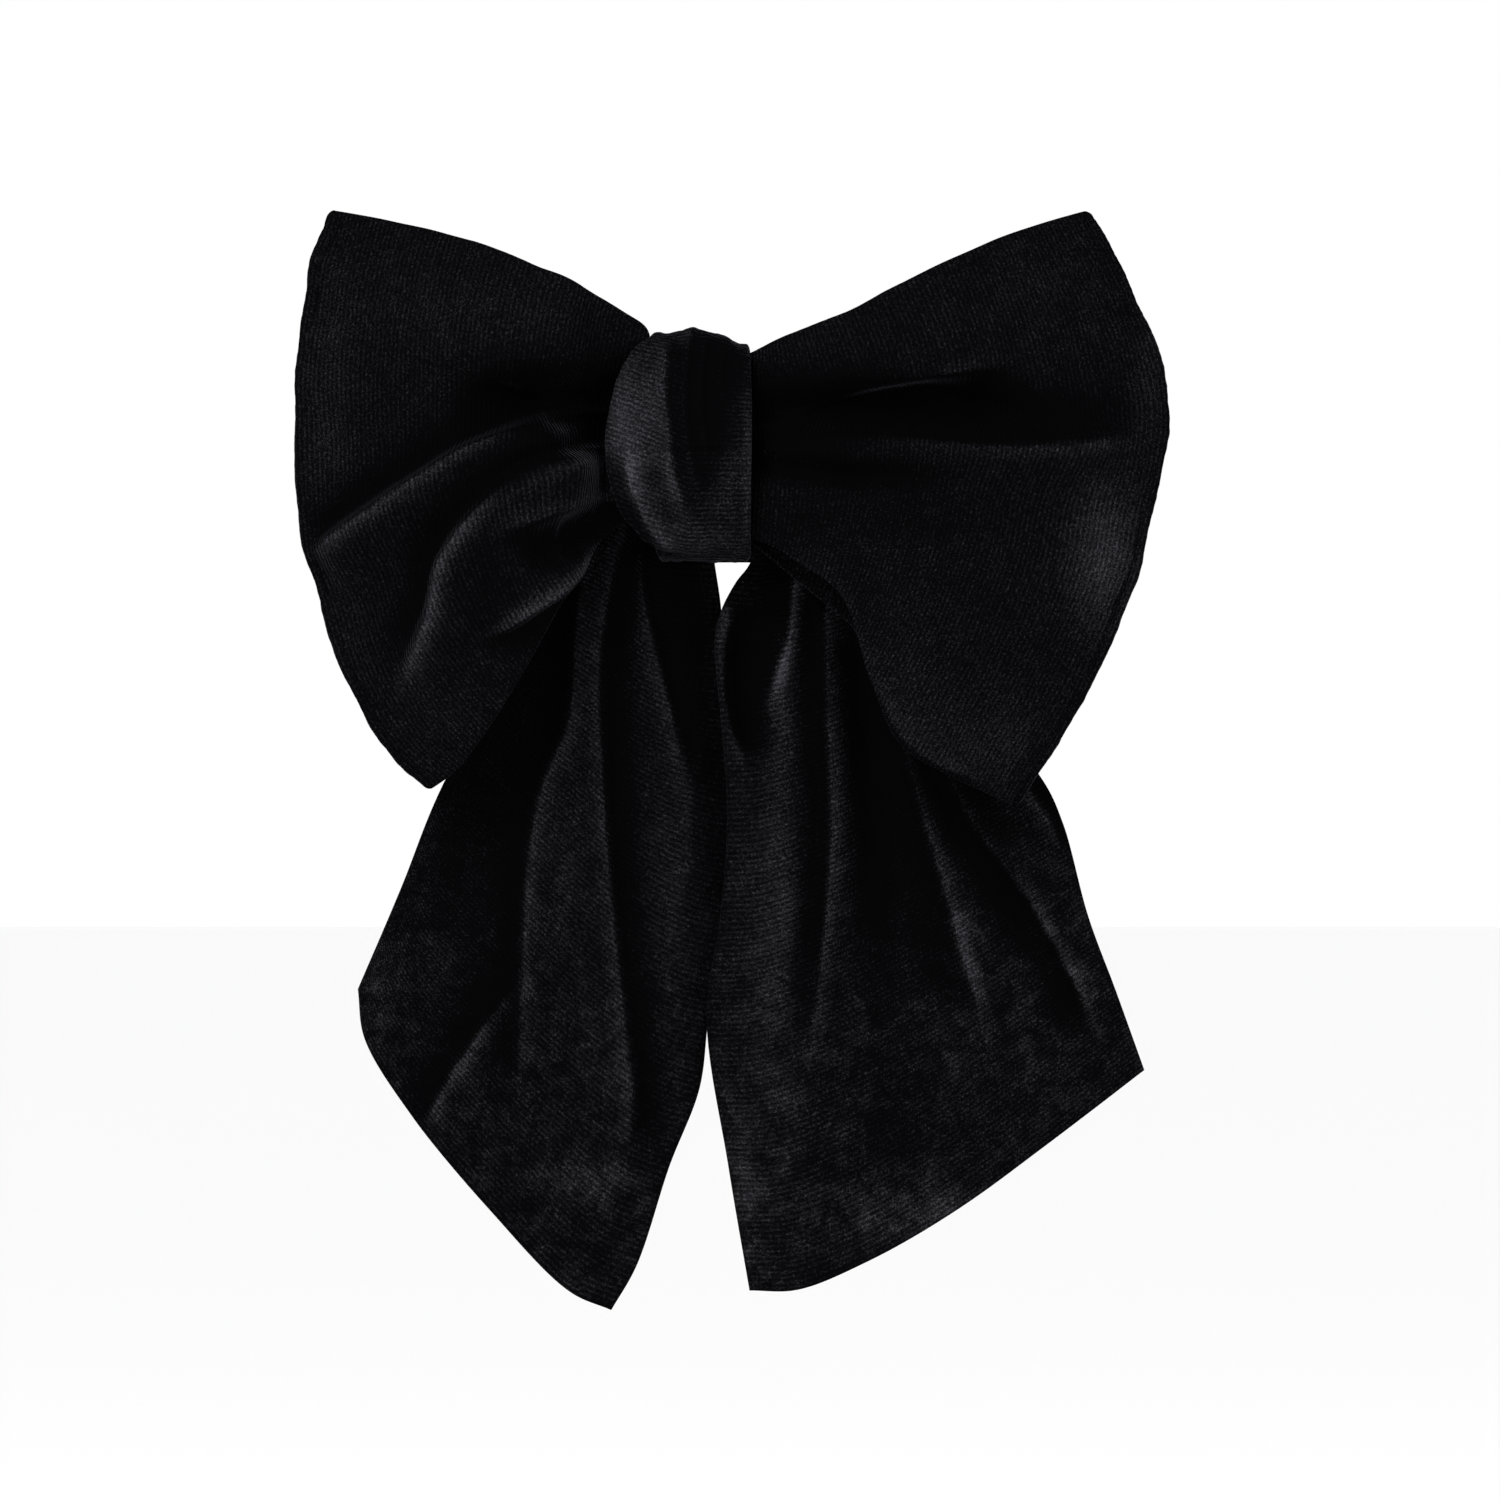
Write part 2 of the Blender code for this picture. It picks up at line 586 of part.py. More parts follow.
def make_latch_web():
    # The flat middle of the latch, which the rivet holds down on the plate between the fingers.
    seat = latch_seat()
    half = finger_reach - run_gap
    web = box("latch_web", (latch_x - finger_width / 2, seat, -half),
              (latch_x + finger_width / 2, seat + finger_sheet, half))
    dress(web, steel("latch_web"))
    hole = cylinder_y("web_hole", latch_x, rivet_diameter + 2 * touch_gap, plate_y, seat + clip_sag)
    combine(web, hole, "DIFFERENCE")
    return web


def make_rivet():
    seat = latch_seat()
    low = arch(latch_x, plate_y, clip_sag, clip_length) - plate_sheet / 2 - touch_gap
    top = seat + finger_sheet + touch_gap
    under, over = rivet_head_radii
    profile = [(0.0, low - rivet_head), (under, low - rivet_head), (under, low),
               (rivet_diameter / 2, low), (rivet_diameter / 2, top), (over, top),
               (over, top + rivet_head), (0.0, top + rivet_head)]
    work = bmesh.new()
    verts = [work.verts.new((latch_x + radius, y, 0.0)) for radius, y in profile]
    edges = [work.edges.new(pair) for pair in zip(verts, verts[1:])]
    bmesh.ops.spin(work, geom=verts + edges, cent=(latch_x, 0.0, 0.0), axis=(0.0, 1.0, 0.0),
                   angle=2 * math.pi, steps=14)
    bmesh.ops.remove_doubles(work, verts=work.verts, dist=0.00001)
    bmesh.ops.recalc_face_normals(work, faces=work.faces)
    mesh = bpy.data.meshes.new("latch_rivet")
    work.to_mesh(mesh)
    work.free()
    item = bpy.data.objects.new("latch_rivet", mesh)
    bpy.context.collection.objects.link(item)
    return dress(item, steel("latch_rivet"))


def make_strap():
    # A velvet strap saddles the plate and is glued down on the head of the tails at both feet.
    side = clip_width / 2 + touch_gap + strap_wall / 2
    line = [(foot_y, -side - strap_foot), (foot_y, -side), (strap_y, -side),
            (strap_y, side), (foot_y, side), (foot_y, side + strap_foot)]
    half = strap_wall / 2
    outer = [(foot_y + half, -side - strap_foot), (foot_y + half, -side - half), (strap_y + half, -side - half),
             (strap_y + half, side + half), (foot_y + half, side + half), (foot_y + half, side + strap_foot)]
    inner = [(2 * y - yo, 2 * z - zo) for (y, z), (yo, zo) in zip(line, outer)]
    rings = []
    for x in (-strap_width / 2, 0.0, strap_width / 2):
        rings.append([(x, y, z) for y, z in outer] + [(x, y, z) for y, z in reversed(inner)])
    points, faces = close_tube(np.array(rings))
    return add_object("clip_strap", points, faces, velvet("clip_strap"))


def main():
    clear_scene()
    make_loop("left_loop", left_rails, -1, reach_left, drop_left, loop_neck_left)
    make_loop("right_loop", right_rails, 1, reach_right, drop_right, loop_neck_right)
    make_waist()
    make_gathering_thread()
    make_knot()
    make_closing_thread()
    make_tail_head()
    make_tail("left_tail", left_tail_rails, tail_left_spread, left_neck)
    make_tail("right_tail", right_tail_rails, tail_right_spread, right_neck)
    make_strap()
    make_plate()
    make_tension_bar()
    make_pin()
    make_arm()
    make_finger("latch_finger_upper", 1)
    make_finger("latch_finger_lower", -1)
    make_latch_web()
    make_rivet()


main()
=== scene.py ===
import json
import math

import bpy
import numpy as np
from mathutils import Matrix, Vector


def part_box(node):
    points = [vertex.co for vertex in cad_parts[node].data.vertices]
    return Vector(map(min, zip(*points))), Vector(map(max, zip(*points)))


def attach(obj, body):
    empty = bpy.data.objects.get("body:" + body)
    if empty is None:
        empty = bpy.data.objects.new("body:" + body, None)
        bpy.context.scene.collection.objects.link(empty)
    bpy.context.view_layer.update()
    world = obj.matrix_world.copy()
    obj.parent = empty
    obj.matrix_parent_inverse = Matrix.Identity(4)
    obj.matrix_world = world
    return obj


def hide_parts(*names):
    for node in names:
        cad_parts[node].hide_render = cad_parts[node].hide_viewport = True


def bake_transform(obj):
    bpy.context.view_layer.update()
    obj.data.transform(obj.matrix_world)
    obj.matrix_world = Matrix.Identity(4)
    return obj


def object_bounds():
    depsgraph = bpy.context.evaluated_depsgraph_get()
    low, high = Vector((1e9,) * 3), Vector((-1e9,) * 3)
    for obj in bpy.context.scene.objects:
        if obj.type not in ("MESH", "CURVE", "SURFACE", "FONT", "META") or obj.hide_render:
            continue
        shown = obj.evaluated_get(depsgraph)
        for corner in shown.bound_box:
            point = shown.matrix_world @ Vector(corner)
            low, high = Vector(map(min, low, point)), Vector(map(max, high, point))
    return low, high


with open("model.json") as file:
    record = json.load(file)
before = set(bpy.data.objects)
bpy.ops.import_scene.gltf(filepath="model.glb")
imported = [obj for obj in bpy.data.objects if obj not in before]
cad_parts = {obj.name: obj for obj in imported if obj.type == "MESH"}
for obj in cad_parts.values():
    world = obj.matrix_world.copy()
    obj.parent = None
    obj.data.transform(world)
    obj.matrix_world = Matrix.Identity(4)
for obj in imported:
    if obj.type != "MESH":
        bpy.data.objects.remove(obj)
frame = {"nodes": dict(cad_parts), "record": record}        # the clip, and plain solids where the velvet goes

mm = 0.001
cadBounds = [list(corner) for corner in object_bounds()]

# The bow is drawn in its own millimetres, across (x) and up (z) from the middle of the knot,
# and then laid into the frame's box, so it is always as wide and as tall as the frame says.
drawn = {"left": -70.3, "right": 90.1, "low": -157.4, "high": 43.4}


def place(x, z):
    # Straight-line fit of the drawn width and height to the frame's box, in metres.
    (lowX, _, lowZ), (highX, _, highZ) = cadBounds
    across = lowX + (x - drawn["left"]) / (drawn["right"] - drawn["left"]) * (highX - lowX)
    up = lowZ + (z - drawn["low"]) / (drawn["high"] - drawn["low"]) * (highZ - lowZ)
    return across, up


def hermite(knots, values, where):
    # Cubic curve through the values, whose slope at each one is that of its two neighbours.
    knots, values, where = (np.asarray(a, float) for a in (knots, values, where))
    slopes = np.gradient(values, knots, axis=0)
    span = np.clip(np.searchsorted(knots, where, side="right") - 1, 0, len(knots) - 2)
    step = (knots[span + 1] - knots[span]).reshape(-1, *[1] * (values.ndim - 1))
    t = (where - knots[span]).reshape(step.shape) / step
    return ((2 * t**3 - 3 * t**2 + 1) * values[span] + (t**3 - 2 * t**2 + t) * step * slopes[span]
            + (3 * t**2 - 2 * t**3) * values[span + 1] + (t**3 - t**2) * step * slopes[span + 1])


def line(points, shares):
    # A smooth line through the points, read at shares of its length.
    points = np.asarray(points, float)
    gaps = np.sqrt(np.linalg.norm(np.diff(points, axis=0), axis=1))
    knots = np.concatenate([[0.0], gaps.cumsum()])
    fine = hermite(knots, points, np.linspace(0, knots[-1], 400))
    length = np.concatenate([[0.0], np.linalg.norm(np.diff(fine, axis=0), axis=1).cumsum()])
    where = np.asarray(shares) * length[-1]
    return np.stack([np.interp(where, length, fine[:, k]) for k in range(points.shape[1])], axis=-1)


def patch(edges, s, t):
    # Coons patch: the two long edges blended across, plus the two short ones blended along, less the
    # flat blend of the four corners. s runs from neck to outer edge and t from first to last long edge.
    first, last = line(edges["first"], s), line(edges["last"], s)
    neck, outer = line(edges["neck"], t), line(edges["outer"], t)
    a, b = s[:, None, None], t[None, :, None]
    start, end = (np.array([edges[side][k] for side in ("first", "last")], float) for k in (0, -1))
    corners = ((1 - a) * (1 - b) * start[0] + (1 - a) * b * start[1]
               + a * (1 - b) * end[0] + a * b * end[1])
    return (1 - b) * first[:, None] + b * last[:, None] + (1 - a) * neck[None] + a * outer[None] - corners


def table(rows, alongKnots, acrossKnots, s, t):
    # A smooth surface of heights through a small table, first along and then across.
    along = hermite(alongKnots, np.asarray(rows, float).T, s)
    return hermite(acrossKnots, along.T, t).T


def softStep(x):
    x = np.clip(x, 0, 1)
    return x * x * (3 - 2 * x)


def waves(points, size, seed, count=18):
    # Soft noise: the sum of sine waves of about one length, in random directions, with mean square a half.
    rng = np.random.default_rng(seed)
    heading = rng.normal(size=(count, points.shape[-1]))
    heading /= np.linalg.norm(heading, axis=1)[:, None]
    turns = heading / (size * rng.uniform(0.7, 1.5, count))[:, None]
    phase = rng.uniform(0, 2 * math.pi, count)
    return np.sin(2 * math.pi * (points @ turns.T) + phase).sum(axis=-1) / math.sqrt(count)


def soften(grid, along, across):
    # Repeated averaging with the neighbours on each side.
    for axis, times in ((0, along), (1, across)):
        for _ in range(times):
            padded = np.pad(grid, [(1, 1) if k == axis else (0, 0) for k in (0, 1)], mode="edge")
            before = padded[:-2] if axis == 0 else padded[:, :-2]
            after = padded[2:] if axis == 0 else padded[:, 2:]
            grid = (before + 2 * grid + after) / 4
    return grid


foldSoftness = 1.55       # how much rounder every fold's sharp side is than its drawn width
foldShine = 0.6           # how much of its drawn shine a fold's crest keeps


def fold(points, rise, sharp, wide, toward, fade=(0.0, 0.3), shine=0.30, shade=0.30):
    # One crease of the cloth: its line, its height, and how steeply it falls on its sharp side,
    # which faces toward, and on its wide side. fade is the share of its length it takes to rise and to die.
    # shine is the painted highlight along its crest, and shade the painted shade beside its sharp side or
    # along a hollow.
    return {"line": points, "rise": rise, "sharp": sharp * foldSoftness, "wide": wide, "toward": toward,
            "fade": fade, "shine": shine * foldShine, "shade": shade}


def folded(x, z, folds):
    # Height and tone of all the folds. A fold's height is its rise times a bell of the distance to its
    # line, as wide as its sharp or its wide side; its tone is a painted highlight along the crest and painted
    # shade beside its sharp side, and a hollow's tone is painted shade along its line.
    height, tone = np.zeros_like(x), np.zeros_like(x)
    for item in folds:
        path = line(item["line"], np.linspace(0, 1, 26))
        start, run = path[:-1], np.diff(path, axis=0)
        away = np.stack([x, z], axis=-1)[..., None, :] - start
        share = np.clip((away * run).sum(-1) / (run * run).sum(-1), 0, 1)
        offset = away - share[..., None] * run
        distance = np.linalg.norm(offset, axis=-1)
        nearest = distance.argmin(-1)[..., None]
        offset = np.take_along_axis(offset, nearest[..., None], -2)[..., 0, :]
        distance = np.take_along_axis(distance, nearest, -1)[..., 0]
        along = (nearest[..., 0] + np.take_along_axis(share, nearest, -1)[..., 0]) / len(run)
        normal = np.stack([-run[:, 1], run[:, 0]], axis=-1)[nearest[..., 0]]
        facing = np.sign((normal * np.array(item["toward"])).sum(-1) + 1e-9)
        side = np.sign((offset * normal).sum(-1)) * facing
        width = np.where(side > 0, item["sharp"], item["wide"])
        fadeIn, fadeOut = item["fade"]
        strength = softStep(along / fadeIn) if fadeIn else np.ones_like(along)
        strength = strength * (softStep((1 - along) / fadeOut) if fadeOut else 1.0)
        height += item["rise"] * strength * np.exp(-(distance / width) ** 2)
        if item["rise"] > 0:
            crest = np.exp(-(distance / np.where(side > 0, 0.7, 2.2)) ** 2)
            lee = np.exp(-((distance - 2.0 * item["sharp"]) / (2.4 * item["sharp"])) ** 2) * (side > 0)
            tone += strength * (item["shine"] * crest - item["shade"] * lee)
        else:
            tone -= strength * item["shade"] * np.exp(-(distance / width) ** 2)
    return height, tone


def paintedLightAndPile(x, z, places):
    # Painted sheen and painted shade, and pile that lies lighter and darker: each place is its middle, its
    # half sizes, and its tone.
    return sum(amount * np.exp(-((x - cx) / rx) ** 2 - ((z - cz) / rz) ** 2)
               for cx, cz, rx, rz, amount in places)


def outward(mid, flip):
    # Unit normals of a grid surface: the cross product of its two directions.
    normal = np.cross(np.gradient(mid, axis=0), np.gradient(mid, axis=1)) * flip
    return normal / np.maximum(np.linalg.norm(normal, axis=-1), 1e-9)[..., None]


def rimmed(count, width, rim, steps=6):
    # Shares across a sheet, crowded in a quarter circle at each rim, and how full the sheet is at each.
    turn = np.linspace(0, math.pi / 2, steps + 1)
    edge, full = rim / width * (1 - np.cos(turn)), np.sin(turn)
    inside = np.linspace(edge[-1], 1 - edge[-1], count - 2 * steps)
    return (np.concatenate([edge[:-1], inside, 1 - edge[:-1][::-1]]),
            np.concatenate([full[:-1], np.ones(len(inside)), full[:-1][::-1]]))


backTone = 0.3            # how much of the face's tone the back of the cloth has


def velvetMesh(name, points, polygons, flat, values, material):
    # A smooth mesh with each point's place on the flat cloth, and its values for the velvet.
    mesh = bpy.data.meshes.new(name)
    mesh.from_pydata(points.tolist(), [], polygons)
    corner = np.zeros(len(mesh.loops), np.int32)
    mesh.loops.foreach_get("vertex_index", corner)
    layer = mesh.uv_layers.new(name="cloth")
    layer.data.foreach_set("uv", flat[corner].astype(np.float32).ravel())
    for label, numbers in values.items():
        layer = mesh.attributes.new(label, "FLOAT", "POINT")
        layer.data.foreach_set("value", numbers.astype(np.float32))
    mesh.shade_smooth()
    mesh.materials.append(material)
    piece = bpy.data.objects.new(name, mesh)
    bpy.context.scene.collection.objects.link(piece)
    print(f"{name}: {sum(len(polygon) - 2 for polygon in polygons)} triangles")
    return piece


def clothPiece(name, outer, inner, cloth, tone, material, closed=False, shutEnd=False, crush=0.3):
    # A closed skin of two grids that meet along their side rims, and at the far end too where shutEnd.
    # closed joins the last row to the first. cloth holds each point's place on the flat cloth, in metres.
    rows, columns = outer.shape[:2]
    outerId = np.arange(rows * columns).reshape(rows, columns)
    innerId = outerId + rows * columns
    innerId[:, 0], innerId[:, -1] = outerId[:, 0], outerId[:, -1]
    if shutEnd:
        innerId[-1] = outerId[-1]
    below = np.roll(np.arange(rows), -1) if closed else np.arange(1, rows)
    above = np.arange(len(below))

    def quads(ids):
        return np.stack([ids[above][:, :-1], ids[above][:, 1:], ids[below][:, 1:], ids[below][:, :-1]],
                        axis=-1).reshape(-1, 4)

    faces = [quads(outerId), quads(innerId)[:, ::-1]]
    if not closed:
        for row, turn in ((0, 1), (rows - 1, -1)):
            if row and shutEnd:
                continue
            outside, inside = outerId[row], innerId[row]
            rim = np.stack([outside[1:], outside[:-1], inside[:-1], inside[1:]], axis=-1)
            faces.append(rim[:, ::turn])
    used, faces = np.unique(np.concatenate(faces), return_inverse=True)
    points = np.concatenate([outer.reshape(-1, 3), inner.reshape(-1, 3)])[used]
    faces = faces.reshape(-1, 4)
    a, b, c, d = (points[faces[:, k]] for k in range(4))
    if (a * np.cross(b, c)).sum() + (a * np.cross(c, d)).sum() < 0:
        faces = faces[:, ::-1]
    polygons = [face if len(set(face)) == 4 else list(dict.fromkeys(face)) for face in faces.tolist()]
    flat = np.concatenate([cloth.reshape(-1, 2)] * 2)[used]
    crush = np.broadcast_to(crush, tone.shape)
    values = {"tone": np.concatenate([tone.ravel(), backTone * tone.ravel()])[used],
              "crush": np.concatenate([crush.ravel()] * 2)[used]}
    return velvetMesh(name, points, polygons, flat, values, material)


def clothSheet(name, mid, flip, full, wall, height, cloth, tone, material, softness=(6, 26), sink=0.0,
               **skin):
    # The sheet's middle surface, raised along its normals: the face follows every fold and the back
    # follows them softened, so the wall between them stays closed. sink sets it all that much further in.
    normal = outward(mid, flip)
    backHeight = soften(height, *softness)
    face = backHeight + full * (wall / 2 + height - backHeight) - sink
    back = backHeight - full * wall / 2 - sink
    return clothPiece(name, mid + normal * (face * mm)[..., None], mid + normal * (back * mm)[..., None],
                      cloth, tone, material, **skin)


def spread(mid):
    # Each point's place on the flat cloth: the mean length along the rows, and across the columns.
    along = np.linalg.norm(np.diff(mid, axis=0), axis=-1).mean(axis=1)
    across = np.linalg.norm(np.diff(mid, axis=1), axis=-1).mean(axis=0)
    u = np.concatenate([[0.0], along.cumsum()])
    v = np.concatenate([[0.0], across.cumsum()])
    return np.stack(np.meshgrid(u, v, indexing="ij"), axis=-1)


# Materials

velvet = {
    "lit": (0.050, 0.0495, 0.058),        # the lightest the cloth gets, reached where pile lies over and where sheen is painted
    "depths": ((0.0, 0.022), (0.2, 0.034), (0.45, 0.14), (0.7, 0.45)),   # tone, and its share of lit
    "sheen": 0.05, "sheenRough": 0.14, "sheenTint": (0.82, 0.84, 1.0),
    "ribPitch": 0.9 * mm, "ribDepth": 0.13 * mm, "ribTone": 0.085,
    "pileSize": 0.34 * mm, "pileDepth": 0.15 * mm, "pileTone": 0.62,
    "crushSize": 4.5 * mm, "crushTone": 0.20,
    "baseTone": 0.045,
}


def nodeMaker(material):
    # Adds a node with its values and links in one call.
    tree = material.node_tree

    def add(kind, values=(), **links):
        node = tree.nodes.new(kind)
        for key, value in dict(values).items():
            if isinstance(key, int) or key in node.inputs:
                node.inputs[key].default_value = value
            else:
                setattr(node, key, value)
        for key, source in links.items():
            socket = node.inputs[int(key[1:])] if key[1:].isdigit() else node.inputs[key.replace("_", " ")]
            tree.links.new(source, socket)
        return node
    return add


def principled(name, **values):
    material = bpy.data.materials.new(name)
    material.use_nodes = True
    shader = material.node_tree.nodes["Principled BSDF"]
    for key, value in values.items():
        shader.inputs[key.replace("_", " ")].default_value = value
    return material, shader


def velvetMaterial(name):
    # Colour: the piece's tone, which carries painted highlights and painted shade as well as the pile's own
    # lighter and darker lie, with pile speckle, ribs, and crushed patches where the piece says so, turned
    # into brightness. Bump: ribs across the strip, from the flat cloth's length, and pile noise.
    look = velvet
    material, shader = principled(name, Roughness=1.0, Specular_IOR_Level=0.0, Sheen_Weight=look["sheen"],
                                  Sheen_Roughness=look["sheenRough"], Sheen_Tint=(*look["sheenTint"], 1.0))
    add = nodeMaker(material)
    place3d = add("ShaderNodeTexCoord").outputs["Object"]
    pile = add("ShaderNodeTexNoise", {"Scale": 1 / look["pileSize"], "Detail": 3.0, "Roughness": 0.65},
               Vector=place3d)
    patches = add("ShaderNodeTexNoise", {"Scale": 1 / look["crushSize"], "Detail": 5.0, "Roughness": 0.68,
                                         "Distortion": 0.5}, Vector=place3d)
    flat = add("ShaderNodeSeparateXYZ", Vector=add("ShaderNodeUVMap", {"uv_map": "cloth"}).outputs[0])
    turns = add("ShaderNodeMath", {"operation": "MULTIPLY", 1: 2 * math.pi / look["ribPitch"]},
                _0=flat.outputs["X"])
    rib = add("ShaderNodeMath", {"operation": "SINE"}, _0=turns.outputs[0])
    speck = add("ShaderNodeMapRange", {"From Min": 0.44, "From Max": 0.80, "To Min": -0.04,
                                       "To Max": look["pileTone"]}, Value=pile.outputs["Fac"])
    slow = add("ShaderNodeMapRange", {"From Min": 0.36, "From Max": 0.66, "To Min": -0.4 * look["crushTone"],
                                      "To Max": look["crushTone"]}, Value=patches.outputs["Fac"])
    crush = add("ShaderNodeAttribute", {"attribute_name": "crush"})
    tone = add("ShaderNodeMath", {"operation": "ADD", 1: look["baseTone"]},
               _0=add("ShaderNodeAttribute", {"attribute_name": "tone"}).outputs["Fac"])
    tone = add("ShaderNodeMath", {"operation": "MULTIPLY_ADD"}, _0=slow.outputs[0], _1=crush.outputs["Fac"],
               _2=tone.outputs[0])
    tone = add("ShaderNodeMath", {"operation": "ADD"}, _0=tone.outputs[0], _1=speck.outputs[0])
    tone = add("ShaderNodeMath", {"operation": "MULTIPLY_ADD", 1: look["ribTone"]}, _0=rib.outputs[0],
               _2=tone.outputs[0])
    ramp = add("ShaderNodeValToRGB", Fac=tone.outputs[0])
    ramp.color_ramp.elements[1].color = (*look["lit"], 1.0)
    for k, (at, share) in enumerate(look["depths"]):
        stop = ramp.color_ramp.elements.new(at) if k else ramp.color_ramp.elements[0]
        stop.color = (*[share * c for c in look["lit"]], 1.0)
    ribBump = add("ShaderNodeBump", {"Strength": 0.5, "Distance": look["ribDepth"]}, Height=rib.outputs[0])
    pileBump = add("ShaderNodeBump", {"Strength": 0.8, "Distance": look["pileDepth"]},
                   Height=pile.outputs["Fac"], Normal=ribBump.outputs[0])
    material.node_tree.links.new(ramp.outputs["Color"], shader.inputs["Base Color"])
    material.node_tree.links.new(pileBump.outputs[0], shader.inputs["Normal"])
    return material


def steelMaterial(name, colour, rough, brushed):
    # Plated steel: roughness from slow smudges, bump from fine drawn lines along the clip's length.
    material, shader = principled(name, Metallic=1.0, Base_Color=(*colour, 1.0))
    add = nodeMaker(material)
    place3d = add("ShaderNodeTexCoord").outputs["Object"]
    drawnOut = add("ShaderNodeMapping", {"Scale": (0.04 if brushed else 1.0, 1.0, 1.0)}, Vector=place3d)
    grain = add("ShaderNodeTexNoise", {"Scale": 1 / (0.18 * mm), "Detail": 4.0}, Vector=drawnOut.outputs[0])
    smudge = add("ShaderNodeTexNoise", {"Scale": 1 / (5 * mm), "Detail": 3.0}, Vector=place3d)
    dull = add("ShaderNodeMapRange", {"From Min": 0.3, "From Max": 0.75, "To Min": rough,
                                      "To Max": rough + 0.16}, Value=smudge.outputs["Fac"])
    bump = add("ShaderNodeBump", {"Strength": 0.25 if brushed else 0.08, "Distance": 0.02 * mm},
               Height=grain.outputs["Fac"])
    material.node_tree.links.new(dull.outputs[0], shader.inputs["Roughness"])
    material.node_tree.links.new(bump.outputs[0], shader.inputs["Normal"])
    return material


def threadMaterial(name):
    # Twisted polyester: dark, a little glossy, with slanting ply lines.
    material, shader = principled(name, Base_Color=(0.008, 0.008, 0.009, 1.0), Roughness=0.5,
                                  Sheen_Weight=0.1)
    add = nodeMaker(material)
    place3d = add("ShaderNodeTexCoord").outputs["Object"]
    ply = add("ShaderNodeTexWave", {"Scale": 1 / (1.4 * mm), "Distortion": 0.6, "Detail": 1.0,
                                    "bands_direction": "DIAGONAL"}, Vector=place3d)
    bump = add("ShaderNodeBump", {"Strength": 0.7, "Distance": 0.08 * mm}, Height=ply.outputs["Fac"])
    material.node_tree.links.new(bump.outputs[0], shader.inputs["Normal"])
    return material


# Loops

def box(node):
    low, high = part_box(node)
    return np.array(low) / mm, np.array(high) / mm


loop = {
    "wall": 2.4, "rim": 1.3, "across": 210, "front": 120, "back": 74,
    "foldDepth": -24.0, "tip": 9.0,                # depth of the outer fold, and how round it is
    "backTop": 1.2, "backLow": 1.0,                # how far the back layer hides behind the front one
    "underlapAt": 26, "underlapWidth": 8,          # where the back layer shows under the front one
    "gripFade": 10, "foldCalm": 0.3,               # folds die at the knot and at the outer fold
    "sway": (0.30, 11), "grain": (0.05, 1.6),      # height and length of the slow and the fine waves
}

up, down, toLeft, toRight = (0, 1), (0, -1), (-1, 0), (1, 0)

leftLoop = {
    "grip": 12.5, "underlap": 0.0,
    "front": {
        "first": [(-4.6, 17.0), (-5.6, 21.4), (-9.2, 24.2), (-19.8, 30.5), (-36.2, 37.1), (-52.7, 41.2),
                  (-64.2, 43.3)],
        "outer": [(-64.2, 43.3), (-67.7, 32.0), (-70.4, 12.0), (-69.8, -4.0), (-68.5, -20.0),
                  (-65.5, -29.0),
                  (-61.7, -41.0), (-54.4, -53.8), (-45.6, -62.6)],
        "last": [(-4.6, -13.0), (-11.0, -14.5), (-17.6, -23.2), (-29.8, -44.3), (-40.6, -58.8),
                 (-45.6, -62.6)],
        "neck": [(-4.6, 17.0), (-4.6, -13.0)],
    },
    "frontDepth": [[4, 4.2, 9, 9, 7, 4], [4.4, 4.6, 15, 18, 14, 6], [4.4, 4.6, 13, 15, 12, 6],
                   [4.4, 4.6, 14, 16, 12, 6], [4.4, 4.6, 14, 16, 12, 6], [4, 4.2, 8, 9, 7, 4]],
    "backDepth": [[5.5, 5.5, 8, 8, 6, 4], [5.5, 6, 10, 11, 8, 5], [5.5, 6, 8, 9, 7, 5],
                  [5.5, 5.5, 5, 4, 4, 4], [5.5, 5, 3, 3, 3, 3.5], [5.5, 4.5, 2.5, 2.5, 2.5, 3]],
    "frontFolds": [
        fold([(-8, 4.3), (-22, 6.2), (-33, 6.8), (-43, 4)], -8.5, 4.2, 4.6, up, fade=(0, 0.45), shade=0.55),
        fold([(-12, 7.2), (-25, 9.2), (-33, 11.6), (-41, 10.6)], 2.4, 1.1, 9, down,
             fade=(0, 0.5), shine=0.3),
        fold([(-10, 6.2), (-25, 4.4), (-36, -0.2), (-51, -9.3), (-68, -20.4)], 5.4, 1.1, 8, up,
             fade=(0, 0.12), shine=0.5),
        fold([(-10, 0.6), (-24, -3.0), (-32.5, -9.0), (-38.5, -15.5)], -3.2, 1.7, 1.7, up,
             fade=(0, 0.45), shade=0.5),
        fold([(-10, -1), (-25, -3.8), (-33, -9.3), (-41.7, -20.7), (-44.4, -31), (-52, -44.8)], 4.6, 1.0, 7,
             (-1, 0.7), fade=(0, 0.22), shine=0.7),
        fold([(-10, -9.8), (-17, -10.1), (-23, -12.3), (-34, -16.8)], 2.8, 1.0, 5, down, fade=(0, 0.3)),
        fold([(-22.2, -12.8), (-21.8, -17.4), (-21.0, -22)], 0.9, 0.6, 2, toRight,
             fade=(0.2, 0.4), shine=0.35),
        fold([(-18, -15), (-29, -21.5)], -2.2, 3, 3, down, fade=(0, 0.5), shade=0.3),
        fold([(-14, -19.5), (-25.6, -28.2), (-37, -36.2)], 2.8, 0.9, 5, down, fade=(0, 0.35), shine=0.7),
    ],
    # painted sheen on the lit faces and painted shade in the hollow under the top fold and next to the knot,
    # with pile that lies lighter and darker
    "paintedLightAndPile": [(-64, 8, 5, 24, 0.13), (-46, 26, 16, 8, 0.07), (-25, 24, 14, 6, 0.05), (-49, -40, 4, 5, 0.16),
              (-24, 6.5, 11, 3.4, -0.40), (-12, 8, 8, 8, -0.22), (-34, -26, 5, 9, -0.14),
              (-60, -34, 5, 14, 0.06),
              (-44, -50, 8, 6, 0.05)],
}
